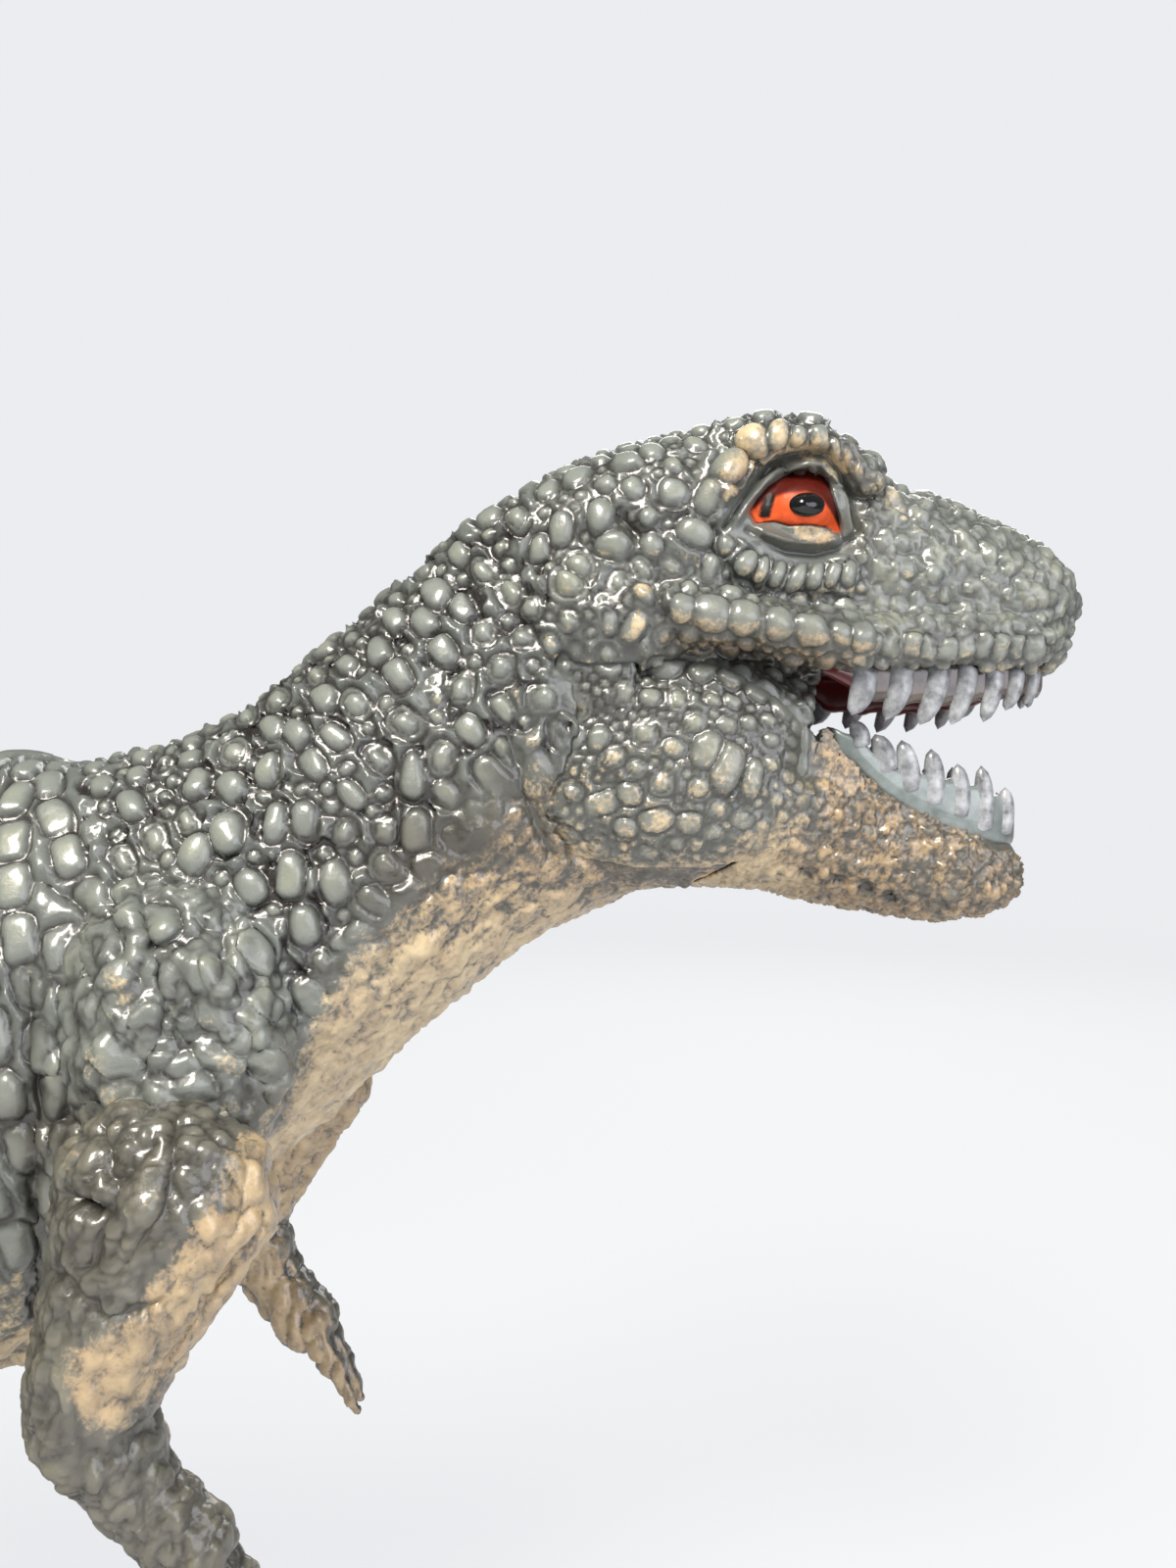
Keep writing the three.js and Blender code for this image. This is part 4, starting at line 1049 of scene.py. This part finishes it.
def dress_tail(mesh):
    points, normals = points_of(mesh), outward(mesh)
    x = points[:, 0]
    at = np.interp(x, TAIL_STEPS, np.r_[0, np.cumsum(0.25 / TAIL_PITCH[1:])])
    around = np.cross(np.tile([1.0, 0, 0.2], (len(points), 1)), normals)
    plates = Plates()
    for number in range(int(at.max()) + 1):
        near = np.flatnonzero(np.abs(at - number) < 0.1)
        if len(near) > 20:
            middle = points[near].mean(axis=0)
            angle = np.arctan2(points[near, 1], points[near, 2] - middle[2])
            pitch = np.interp(middle[0], TAIL_STEPS, TAIL_PITCH)
            plates.ring(points[near], angle, around[near], pitch * 1.33, pitch * 1.2, pitch * 0.84)
    print("plates on the tail:", len(plates.place))
    groove, crown = raise_plates(mesh, plates, 0.4, ramp(TAIL_FROM - x, -1.0, 1.5))
    cream = ramp(-normals[:, 2], 0.35, 0.8)
    return {"groove": groove, "crown": crown, "cream": cream, "soil_and_shade": np.zeros(len(points))}


skins["tail"] = even_skin("tail", ["tail"], voxel=0.7, rounds=6)
keep(skins["tail"], **dress_tail(skins["tail"]))

# %% Thin the skins and keep them above the floor
# The soles stay this far above the floor, in millimetres.
LOWEST = 0.01

for name in skins:
    skins[name] = thin(skins[name], MOST_TRIANGLES.get(name, MOST_OTHERS))
    points = points_of(skins[name])
    points[:, 2] = np.maximum(points[:, 2], LOWEST)
    move_points(skins[name], points)
print({name: len(mesh.vertices) for name, mesh in skins.items()})

# %% [markdown]
# ## Paint
# The vinyl is sprayed slate grey-green. A dark wash runs into the grooves, made darker than a wash alone so
# that it is also painted shade in the grooves, olive and cream are dry-brushed over the tips, the underside
# is stippled cream, and a thick gloss varnish covers all of it. An image wrapped round the figure would show
# its seams. So the guides that were kept on the skin say where each paint goes, and noise in the object's own
# space breaks the edges up as a brush does.


# %% Tools for paint
def grain(tree, per_metre):
    """Noise in the object's own space, spread to the whole of 0 to 1. Spots of 1 mm are 1000 per metre."""
    place = add(tree, "ShaderNodeTexCoord").outputs["Object"]
    spots = {"Vector": place, "Scale": per_metre, "Detail": 4.0, "Roughness": 0.6}
    cloud = add(tree, "ShaderNodeTexNoise", spots).outputs["Fac"]
    return add(tree, "ShaderNodeMapRange", {"Value": cloud, "From Min": 0.3, "From Max": 0.7}).outputs[0]


def layered(tree, base, *layers):
    """Paints layers over a base colour. Each is how much of it there is, its colour, and how it mixes."""
    for much, colour, *mode in layers:
        inputs = {0: much, 6: base, 7: colour}
        mixed = add(tree, "ShaderNodeMix", inputs, data_type="RGBA", blend_type=(mode or ["MIX"])[0])
        base = mixed.outputs[2]
    return base


def new_finish(name, recipe, *values):
    """A material with one glossy shader, whose inputs the recipe gives."""
    material = bpy.data.materials.new(name)
    material.use_nodes = True
    tree = material.node_tree
    tree.nodes.clear()
    skin = add(tree, "ShaderNodeBsdfPrincipled", recipe(tree, *values))
    add(tree, "ShaderNodeOutputMaterial", {"Surface": skin.outputs[0]})
    return material


# %% Painted vinyl
# Clouds of sprayed colour of 11 mm, dabs of a flat brush of 2.4 mm, and stipple of 0.5 mm.
SPRAYED, DABBED, STIPPLED = 90.0, 420.0, 2000.0


def painted_vinyl(tree):
    """Satin paint under varnish: a broad soft gloss from the paint, and small sharp glints from the coat."""
    groove, crown, cream, soil_and_shade = (
        add(tree, "ShaderNodeAttribute", attribute_name=name).outputs["Fac"]
        for name in ("groove", "crown", "cream", "soil_and_shade")
    )
    cloud, blotch, speck = grain(tree, SPRAYED), grain(tree, DABBED), grain(tree, STIPPLED)
    # Grey-green skin: paler on the crown of a scale and in the sprayed clouds, olive on the tips.
    pale = add(tree, "ShaderNodeMath", {0: crown, 1: 0.5, 2: 0.1}, operation="MULTIPLY_ADD").outputs[0]
    pale = add(tree, "ShaderNodeMath", {0: cloud, 1: 0.25, 2: pale}, operation="MULTIPLY_ADD").outputs[0]
    tips = add(tree, "ShaderNodeMath", {0: crown, 1: cloud}, operation="MULTIPLY").outputs[0]
    tips = {"Value": tips, "From Min": 0.35, "From Max": 0.9, "To Max": 0.45}
    tips = add(tree, "ShaderNodeMapRange", tips).outputs[0]
    grey = layered(tree, linear("#4e5350"), (pale, linear("#8b9088")), (tips, linear("#8a8b6e")))
    # Cream: thin in the grooves, in dabs and stipple at its edge, browner in the clouds.
    cover = add(tree, "ShaderNodeMath", {0: groove, 1: -0.5, 2: cream}, operation="MULTIPLY_ADD").outputs[0]
    cover = add(tree, "ShaderNodeMath", {0: speck, 1: 0.5, 2: cover}, operation="MULTIPLY_ADD").outputs[0]
    cover = add(tree, "ShaderNodeMath", {0: blotch, 1: 0.5, 2: cover}, operation="MULTIPLY_ADD").outputs[0]
    cover = {"Value": cover, "From Min": 0.9, "From Max": 1.33, "To Max": 0.95}
    cover = add(tree, "ShaderNodeMapRange", cover).outputs[0]
    specked = add(tree, "ShaderNodeMath", {0: speck, 1: 0.5}, operation="MULTIPLY").outputs[0]
    browned = add(tree, "ShaderNodeMath", {0: cloud, 1: 0.45}, operation="MULTIPLY").outputs[0]
    tan = layered(
        tree,
        linear("#998466"),
        (blotch, linear("#ead8ab")),
        (specked, linear("#c2af90")),
        (browned, linear("#9c8971")),
    )
    # The dark wash, which is also painted shade in the grooves, is rubbed off where there is cream.
    wash_and_shade = add(tree, "ShaderNodeMath", {0: cream, 1: -0.5, 2: 0.95}, operation="MULTIPLY_ADD").outputs[0]
    wash_and_shade = add(tree, "ShaderNodeMath", {0: groove, 1: wash_and_shade}, operation="MULTIPLY").outputs[0]
    # The soil layer multiplies in brown: real stain on most of the skin, and painted shade on the throat.
    layers = (cover, tan), (soil_and_shade, linear("#d4c7bb"), "MULTIPLY"), (wash_and_shade, linear("#1b1611"))
    bump = add(tree, "ShaderNodeBump", {"Height": speck, "Strength": 0.15, "Distance": 0.0003}).outputs[0]
    return {
        "Base Color": layered(tree, grey, *layers),
        "Roughness": 0.38,
        "IOR": 1.5,
        "Coat Weight": 0.65,
        "Coat Roughness": 0.12,
        "Normal": bump,
    }


vinyl = new_finish("varnished_painted_vinyl", painted_vinyl)
print("painted:", vinyl.name)


# %% Put the skins on the figure
def shown(name, mesh, material, body, nodes, mirror=False):
    """A piece of the figure, in metres, that rides on a body and stands for some CAD nodes."""
    points = points_of(mesh) * MM
    if mirror:
        points[:, 1] *= -1
    move_points(mesh, points)
    if mirror:
        mesh.flip_normals()
    mesh.materials.clear()
    mesh.materials.append(material)
    mesh.shade_smooth()
    piece = placed(name, mesh)
    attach(piece, body)
    if nodes:
        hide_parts(*nodes)


def close_seam(mesh):
    """Closes the half along the middle plane with a flat face, and keeps that edge sharp."""
    bm = bmesh.new()
    bm.from_mesh(mesh)
    rim = [e for e in bm.edges if e.is_boundary]
    for e in rim:
        e.smooth = False
    bmesh.ops.holes_fill(bm, edges=rim, sides=0)
    bm.to_mesh(mesh)
    bm.free()


close_seam(half)
skins["left_arm"] = skins["right_arm"].copy()
skins["body_shell_right"] = half
skins["body_shell_left"] = half.copy()
for node, mesh in skins.items():
    mirrored = node in ("left_arm", "body_shell_left")
    body = "jaw" if node == "lower_jaw" else "figure"
    shown(node + "_skin", mesh, vinyl, body, [node], mirrored)
print("skins shown:", len(skins))

# %% [markdown]
# ## Eyes
# The eyeball and its pupil are painted on raised domes inside the lids: an orange almond with a painted
# shadow of the upper lid over its top and painted shade in its inner corner, and a black oval with a drop of
# varnish on it. A round ball would push through the lids.
# Each is a fan of rings instead, drawn over the side view and laid on the smooth skin, so it follows the
# head. The left one is the mirror image.


# %% Eye domes
def on_skin(where):
    """The point of the smooth skin that is seen at a place of the picture, and the way back to the camera."""
    ray = Vector(((where[0] - PICTURE[0] / 2) / FOCUS, 1, -(where[1] - PICTURE[1] / 2) / FOCUS)).normalized()
    return np.array(plain_half.ray_cast(Vector(EYE_POINT), ray)[0]), -np.array(ray)


def dome(name, outline, height_at, rings, around):
    """A raised patch inside an outline. height_at takes a place and its share of the way to the rim."""
    corners = np.array(outline + outline[:1], float)
    lengths = np.r_[0, np.cumsum(np.linalg.norm(np.diff(corners, axis=0), axis=1))]
    stops = np.linspace(0, lengths[-1], around, endpoint=False)
    edge = np.stack([np.interp(stops, lengths, corners[:, k]) for k in (0, 1)], 1)
    middle = edge.mean(axis=0)
    spots = [middle] + [middle + (e - middle) * r / rings for r in range(1, rings + 1) for e in edge]
    points = []
    for i, spot in enumerate(spots):
        hit, nearer = on_skin(spot)
        share = 0 if i == 0 else ((i - 1) // around + 1) / rings
        points.append(hit + nearer * height_at(spot, share))
    faces = [(0, 1 + k, 1 + (k + 1) % around) for k in range(around)]
    for r in range(rings - 1):
        a, b = 1 + r * around, 1 + (r + 1) * around
        faces += [(a + k, b + k, b + (k + 1) % around, a + (k + 1) % around) for k in range(around)]
    mesh = bpy.data.meshes.new(name)
    mesh.from_pydata([tuple(p) for p in points], [], faces)
    bm = bmesh.new()
    bm.from_mesh(mesh)
    bmesh.ops.recalc_face_normals(bm, faces=bm.faces)
    if sum(f.normal.y for f in bm.faces) > 0:
        bmesh.ops.reverse_faces(bm, faces=bm.faces)
    bm.to_mesh(mesh)
    bm.free()
    return mesh, np.array(spots)


def oval(middle, across, down, steps=48):
    turns = [2 * math.pi * k / steps for k in range(steps)]
    return [(middle[0] + across * math.cos(turn), middle[1] + down * math.sin(turn)) for turn in turns]


# %% Eye paints
def orange_enamel(tree):
    """Satin enamel in brush dabs of 1.1 mm. It has little gloss of its own, so the orange stays strong."""
    shade, ink = (
        add(tree, "ShaderNodeAttribute", attribute_name=name).outputs["Fac"] for name in ("shade", "ink")
    )
    dabs = (grain(tree, 900.0), linear("#e0602f"))
    # Over the orange go the painted shadow of the upper lid and painted near-black shade in the inner corner.
    colour = layered(tree, linear("#c4471f"), dabs, (shade, linear("#4a1108")), (ink, linear("#0c0604")))
    return {
        "Base Color": colour,
        "Roughness": 0.5,
        "IOR": 1.5,
        "Specular IOR Level": 0.2,
        "Coat Weight": 0.05,
        "Coat Roughness": 0.03,
    }


def black_enamel(tree):
    """A drop of gloss enamel, evenly black but for one sharp glint."""
    return {
        "Base Color": linear("#08090b"),
        "Roughness": 0.15,
        "IOR": 1.5,
        "Specular IOR Level": 0.3,
        "Coat Weight": 0.6,
        "Coat Roughness": 0.03,
    }


# %% Eyes
# Places and reaches are in the picture, and the depth is in millimetres.
BALL_MIDDLE, BALL_REACH, BALL_DEPTH = (814, 513), (44, 30), 0.75
ALMOND_MIDDLE = (812, 514)
# The eyeball is this much larger than the almond that shows, so its rim is under the lids.
GROWN = 1.06
PUPIL, PUPIL_SIZE = (823.5, 515), (19, 13)
LID_SHADOW_EDGE = [(760, 524), (778, 513), (800, 504), (822, 502), (838, 508), (848, 522), (862, 550)]
INNER_CORNER = [
    (774, 527), (776, 516), (782, 507), (790, 502), (791, 508), (788, 519), (786, 528), (778, 529),
]


def ball_height(spot):
    reach = sum(((spot[k] - BALL_MIDDLE[k]) / BALL_REACH[k]) ** 2 for k in (0, 1))
    return -BALL_DEPTH + BALL_DEPTH * math.sqrt(max(0, 1 - reach))


def eyeball_height(spot, share):
    """The ball, with its rim tucked under the lids."""
    return ball_height(spot) - 0.5 * max(0, share - 0.9) / 0.1


def pupil_height(spot, share):
    return ball_height(spot) - 0.12 + 0.8 * math.sqrt(max(0, 1 - share**2))


a, b = ALMOND_MIDDLE
grown = [((x - a) * GROWN + a, (y - b) * GROWN + b) for x, y in ALMOND]
ball, spots = dome("eyeball", grown, eyeball_height, rings=26, around=120)
# Painted shadow of the upper lid over the top of the ball, and painted near-black shade in its inner corner.
shade = 1 - ramp(below(spots, LID_SHADOW_EDGE), -3, 3)
ink = ramp(within(spots, INNER_CORNER), -1, 1)
keep(ball, shade=shade, ink=ink)
pupil, _ = dome("pupil", oval(PUPIL, *PUPIL_SIZE), pupil_height, rings=10, around=40)
orange = new_finish("orange_enamel", orange_enamel)
black = new_finish("black_enamel", black_enamel)
for side in ("right", "left"):
    for kind, mesh, enamel in (("eyeball", ball, orange), ("pupil", pupil, black)):
        shown(f"{side}_{kind}", mesh.copy(), enamel, "figure", [], side == "left")
print("eyes:", len(ball.vertices), "and", len(pupil.vertices), "points")

# %% [markdown]
# ## Teeth
# Each row of teeth is one moulded strip: a gum band with pegs in relief that lean back. A Geometry Nodes tree
# puts one peg on every point it is given, turned and sized by what that point says. Both rows use the same
# tree, and a change to the peg changes every tooth.


# %% Tooth tree
def tooth_tree():
    tree = bpy.data.node_groups.new("tooth_row", "GeometryNodeTree")
    face = tree.interface
    face.new_socket("Roots", in_out="INPUT", socket_type="NodeSocketGeometry")
    for name, value in (("Tip width", 0.46), ("Bend", 0.45)):
        face.new_socket(name, in_out="INPUT", socket_type="NodeSocketFloat").default_value = value
    face.new_socket("Paint", in_out="INPUT", socket_type="NodeSocketMaterial")
    face.new_socket("Teeth", in_out="OUTPUT", socket_type="NodeSocketGeometry")
    given = add(tree, "NodeGroupInput").outputs
    # A round peg, one high and one across, from which rings are drawn in towards the tip.
    peg = {"Vertices": 18, "Side Segments": 10, "Radius Bottom": 0.5, "Depth": 1.0}
    peg = add(tree, "GeometryNodeMeshCone", {**peg, "Radius Top": given["Tip width"]}).outputs["Mesh"]
    place = add(tree, "GeometryNodeInputPosition").outputs[0]
    x, y, z = add(tree, "ShaderNodeSeparateXYZ", {0: place}).outputs
    blunt = add(tree, "ShaderNodeMath", {0: z, 1: 4.0}, operation="POWER").outputs[0]
    left = add(tree, "ShaderNodeMath", {0: 1.0, 1: blunt}, operation="SUBTRACT").outputs[0]
    foot = add(tree, "ShaderNodeMath", {0: z, 1: 9.0}, operation="MULTIPLY", use_clamp=True).outputs[0]
    left = add(tree, "ShaderNodeMath", {0: left, 1: foot}, operation="MULTIPLY").outputs[0]
    slim = add(tree, "ShaderNodeMath", {0: left, 1: 0.5}, operation="POWER").outputs[0]
    # The peg bows forward between foot and tip.
    short = add(tree, "ShaderNodeMath", {0: z, 1: 1.0}, operation="SUBTRACT").outputs[0]
    arc = add(tree, "ShaderNodeMath", {0: z, 1: short}, operation="MULTIPLY").outputs[0]
    sweep = add(tree, "ShaderNodeMath", {0: arc, 1: given["Bend"]}, operation="MULTIPLY").outputs[0]
    across = add(tree, "ShaderNodeMath", {0: x, 1: slim, 2: sweep}, operation="MULTIPLY_ADD").outputs[0]
    thick = add(tree, "ShaderNodeMath", {0: y, 1: slim}, operation="MULTIPLY").outputs[0]
    spot = add(tree, "ShaderNodeCombineXYZ", {0: across, 1: thick, 2: z}).outputs[0]
    shaped = add(tree, "GeometryNodeSetPosition", {"Geometry": peg, "Position": spot}).outputs[0]
    turn = add(tree, "GeometryNodeInputNamedAttribute", {"Name": "turn"}, data_type="FLOAT_VECTOR").outputs[0]
    size = add(tree, "GeometryNodeInputNamedAttribute", {"Name": "size"}, data_type="FLOAT_VECTOR").outputs[0]
    rotation = add(tree, "FunctionNodeEulerToRotation", {0: turn}).outputs[0]
    row = {"Points": given["Roots"], "Instance": shaped, "Rotation": rotation, "Scale": size}
    row = add(tree, "GeometryNodeInstanceOnPoints", row).outputs[0]
    real = add(tree, "GeometryNodeRealizeInstances", {"Geometry": row}).outputs[0]
    painted = add(tree, "GeometryNodeSetMaterial", {"Geometry": real, "Material": given["Paint"]}).outputs[0]
    add(tree, "NodeGroupOutput", {0: painted})
    return tree


TOOTH_TREE = tooth_tree()
print("tooth tree:", len(TOOTH_TREE.nodes), "nodes")


# %% A row of teeth
def tooth_row(name, teeth, paint, bend):
    """Teeth as root, tip, backward direction, width and depth."""
    mesh = bpy.data.meshes.new(name)
    mesh.from_pydata([t[0] for t in teeth], [], [])
    turns, sizes = [], []
    for root, tip, back, width, depth in teeth:
        up = Vector(tip) - Vector(root)
        length = up.length
        up.normalize()
        ahead = (Vector(back) - up * up.dot(Vector(back))).normalized()
        side = up.cross(ahead)
        turn = Matrix((ahead, side, up)).transposed().to_euler()
        turns.append(tuple(turn))
        sizes.append((width, depth, length))
    for key, values in (("turn", turns), ("size", sizes)):
        data = mesh.attributes.new(key, "FLOAT_VECTOR", "POINT").data
        data.foreach_set("vector", np.array(values, np.float32).ravel())
    obj = placed(name, mesh)
    row = obj.modifiers.new("teeth", "NODES")
    row.node_group = TOOTH_TREE
    keys = {item.name: item.identifier for item in TOOTH_TREE.interface.items_tree if item.in_out == "INPUT"}
    row[keys["Bend"]] = bend
    row[keys["Paint"]] = paint
    return made_mesh(obj)


# %% [markdown]
# The teeth are brushed white over grey, so their hollows stay grey. The gums are painted in two greys, the
# upper one warm and dark, made darker still as painted shade under the upper lip, and the lower one silvery,
# and the mouth behind them is dark red, darkened at the corner as painted shade.


# %% Mouth paints
# A gum band turns red behind this place along the head, over this length, in millimetres.
REDDENS_AT = 167.4
REDDENS_IN = 0.6


def tooth_paint(tree):
    """Glossy white dry-brushed in dabs of 1.8 mm, over a grain of 0.4 mm that roughens its glints."""
    speck, blotch = grain(tree, 2500.0), grain(tree, 550.0)
    bump = add(tree, "ShaderNodeBump", {"Height": speck, "Strength": 0.2, "Distance": 0.0002}).outputs[0]
    colour = layered(tree, linear("#505355"), (blotch, linear("#afb2b5")))
    return {"Base Color": colour, "Roughness": 0.3, "IOR": 1.5, "Coat Weight": 0.6, "Normal": bump}


def gum_paint(tree, dark, pale, reddens=False):
    """Wet-looking paint in blotches of 2.2 mm. On a gum band it turns red inside and at the back."""
    layers = [(grain(tree, 450.0), linear(pale))]
    if reddens:
        place = add(tree, "ShaderNodeTexCoord").outputs["Object"]
        along = add(tree, "ShaderNodeSeparateXYZ", {0: place}).outputs[0]
        back = {"Value": along, "From Min": REDDENS_AT * MM, "From Max": (REDDENS_AT - REDDENS_IN) * MM}
        back = add(tree, "ShaderNodeMapRange", back).outputs[0]
        inner = add(tree, "ShaderNodeAttribute", attribute_name="inner").outputs["Fac"]
        red = add(tree, "ShaderNodeMath", {0: back, 1: inner}, operation="MAXIMUM").outputs[0]
        # The red inside and at the back is dark red mouth paint, made darker still as painted shade at the
        # corner of the mouth.
        layers.append((red, linear("#560e10")))
    colour = layered(tree, linear(dark), *layers)
    return {"Base Color": colour, "Roughness": 0.28, "IOR": 1.5, "Coat Weight": 0.7}


def moulded_pin(tree):
    """Plain moulded plastic, dull and even, with faint flow marks of 1.7 mm."""
    colour = layered(tree, linear("#3a3c3a"), (grain(tree, 600.0), linear("#454845")))
    return {"Base Color": colour, "Roughness": 0.5, "IOR": 1.48}


white = new_finish("brushed_white_tooth_paint", tooth_paint)
# The upper gum's greys are made dark as painted shade under the upper lip.
upper_gum = new_finish("tan_grey_gum_paint_with_painted_shade", gum_paint, "#2e2722", "#655a4f", True)
lower_gum = new_finish("silvery_gum_paint", gum_paint, "#5d6765", "#838d8b")
lining = new_finish("dark_red_mouth_paint", gum_paint, "#780f13", "#a51e22")
acetal = new_finish("moulded_acetal_pin", moulded_pin)
print("mouth paints:", [paint.name for paint in (white, upper_gum, lower_gum, lining, acetal)])


# %% Tooth strips
def smooth_line(points, steps=12):
    """A Catmull-Rom curve through the points."""
    p = np.array([points[0], *points, points[-1]], float)
    out = []
    for i in range(1, len(p) - 2):
        for t in np.arange(steps) / steps:
            a, b, c, d = p[i - 1 : i + 3]
            square, cube = 2 * a - 5 * b + 4 * c - d, 3 * b - a - 3 * c + d
            out.append(0.5 * (2 * b + (c - a) * t + square * t**2 + cube * t**3))
    return np.array([*out, p[-2]])


UPPER_ARCH = smooth_line(UPPER_LINE)
LOWER_ARCH = smooth_line([(164.2, 7.4), (171.3, 6.9), (178.6, 6.1), (184.2, 4.6), (186.6, 2.3), (187.1, 0)])


def round_both(arch):
    """The whole row, from the right back tooth round the front to the left one, as x and y."""
    right = arch * np.array([1, -1])
    return np.vstack([right, arch[::-1][1:]])


# %% Gum bands
SIDES = 16


def squarish(value):
    return math.copysign(abs(value) ** 0.6, value)


def gum_band(name, arch, low_at, high_at, thick, teeth, scallop):
    """
    A band along the arch. Its lower and upper edge are tables of x and height. Between the teeth the edge
    draws back by the scallop, down if that is negative.
    """
    row = round_both(arch)
    feet = np.array([t[0][:2] for t in teeth])
    ahead = np.gradient(row, axis=0)
    ahead /= np.linalg.norm(ahead, axis=1)[:, None]
    out = np.stack([ahead[:, 1], -ahead[:, 0]], 1)
    turns = [2 * math.pi * k / SIDES for k in range(SIDES)]
    bm = bmesh.new()
    rings = []
    end = len(row) - 1
    for i, ((x, y), (nx, ny)) in enumerate(zip(row, out)):
        low, high = np.interp(x, *low_at), np.interp(x, *high_at)
        between = 1 - math.exp(-np.min(np.hypot(feet[:, 0] - x, feet[:, 1] - y)) ** 2)
        low += max(scallop, 0) * between
        high += min(scallop, 0) * between
        taper = min(1, (min(i, end - i) + 1) / 6)
        ring = []
        for turn in turns:
            wide = squarish(math.cos(turn)) * thick / 2 * taper
            tall = squarish(math.sin(turn)) * (high - low) / 2 + (high + low) / 2
            ring.append(bm.verts.new((x + nx * wide, y + ny * wide, tall)))
        rings.append(ring)
    for a, b in zip(rings[:-1], rings[1:]):
        for k in range(SIDES):
            bm.faces.new((a[k], b[k], b[(k + 1) % SIDES], a[(k + 1) % SIDES]))
    bm.faces.new(rings[0])
    bm.faces.new(rings[-1][::-1])
    bmesh.ops.recalc_face_normals(bm, faces=bm.faces)
    mesh = bpy.data.meshes.new(name)
    bm.to_mesh(mesh)
    bm.free()
    keep(mesh, inner=[1.0 if math.cos(turn) < -0.1 else 0.0 for turn in turns] * len(row))
    return mesh


# %% Places of the teeth
def seen_at(arch, across, down):
    """The point above or below an arch that is seen at a place of the picture, from a first guess."""
    x = 180
    for _ in range(12):
        y = -np.interp(x, arch[:, 0], arch[:, 1])
        x = EYE_POINT[0] + (across - PICTURE[0] / 2) * (y - EYE_POINT[1]) / FOCUS
    return np.array([x, y, EYE_POINT[2] - (down - PICTURE[1] / 2) * (y - EYE_POINT[1]) / FOCUS])


# How far teeth stand out from the arch, how deep they are, and the size of the small front pair.
TOOTH_STAND, TOOTH_DEPTH, FRONT_WIDTH, FRONT_DEPTH = 0.5, 1.9, 1.6, 1.5
# Root and tip in the picture, and width in millimetres.
UPPER_TEETH = [
    ((880, 684), (869, 730), 3.3), ((918.5, 681), (904, 735), 3.2), ((956, 684), (939, 740), 3.0),
    ((985, 685), (971, 740), 2.7), ((1012, 686), (1004, 737), 2.5), ((1035, 687), (1027, 725), 2.2),
    ((1052, 688), (1047, 719), 1.9),
]
LOWER_TEETH = [
    ((876, 760), (871, 735), 2.6), ((902, 784), (893, 749), 3.0), ((925, 803), (920, 755), 3.0),
    ((949, 815), (950, 764), 2.9), ((976, 828), (977, 779), 2.7), ((1000, 840), (1001, 781), 2.7),
    ((1021, 846), (1024, 803), 2.4),
]


def teeth_of(arch, seen, front):
    """Teeth stand on the outer face of the gum band, so their whole length shows."""
    teeth = []
    outer = arch + TOOTH_STAND * np.array([0.5, 1])
    for root, tip, width in seen:
        foot = seen_at(outer, *root)
        point = seen_at(outer, *tip)
        point[1] = foot[1]
        foot += (foot - point) * 0.2
        for side in (1, -1):
            mirror = np.array([1, side, 1])
            teeth.append((tuple(foot * mirror), tuple(point * mirror), (-1, 0, 0), width, TOOTH_DEPTH))
    for foot, point in np.array(front):
        for side in (1, -1):
            mirror = np.array([1, side, 1])
            back = (0, -side, 0)
            teeth.append((tuple(foot * mirror), tuple(point * mirror), back, FRONT_WIDTH, FRONT_DEPTH))
    return teeth


upper = teeth_of(UPPER_ARCH, UPPER_TEETH, [((190.5, -1.5, 178.2), (190.0, -1.3, 174.6))])
lower = teeth_of(LOWER_ARCH, LOWER_TEETH, [((187.0, -0.9, 159.5), (186.8, -0.8, 164.0))])
print("teeth:", len(upper), "upper and", len(lower), "lower")

# %% Mouth
UPPER_GUM_LOW = [162, 165.5, 168, 178, 191], [177.4, 175.6, 174.1, 173.9, 175.8]
UPPER_GUM_HIGH = [162], [179.6]
LOWER_GUM_LOW = [165.2, 169.9, 175.2, 183.9, 187], [168.3, 163.9, 160.0, 157.6, 157.2]
LOWER_GUM_HIGH = (
    [164.5, 167.2, 170.8, 174.4, 181, 184.5, 187.3],
    [172.6, 171.2, 167.9, 167.0, 165.7, 164.1, 162.9],
)

upper_band = gum_band("upper_gum", UPPER_ARCH, UPPER_GUM_LOW, UPPER_GUM_HIGH, 1.4, upper, 0.7)
lower_band = gum_band("lower_gum", LOWER_ARCH, LOWER_GUM_LOW, LOWER_GUM_HIGH, 2.4, lower, -0.9)
upper_row = tooth_row("upper_teeth", upper, white, 0.7)
lower_row = tooth_row("lower_teeth", lower, white, 0.6)
tongue = even_skin("tongue", ["tongue"], voxel=0.35, rounds=14)
for name, mesh, paint, body, node, slot in (
    ("upper_teeth", upper_row, white, "figure", "upper_tooth_strip", "teeth"),
    ("lower_teeth", lower_row, white, "jaw", "lower_tooth_strip", "teeth"),
    ("upper_gum", upper_band, upper_gum, "figure", "upper_tooth_strip", "teeth"),
    ("lower_gum", lower_band, lower_gum, "jaw", "lower_tooth_strip", "teeth"),
    ("tongue_skin", tongue, lining, "jaw", "tongue", "mouth_lining"),
):
    shown(name, mesh, paint, body, [node])
    print(name, len(mesh.polygons), "faces")
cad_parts["palate"].material_slots[0].material = lining
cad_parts["jaw_pin"].material_slots[0].material = acetal
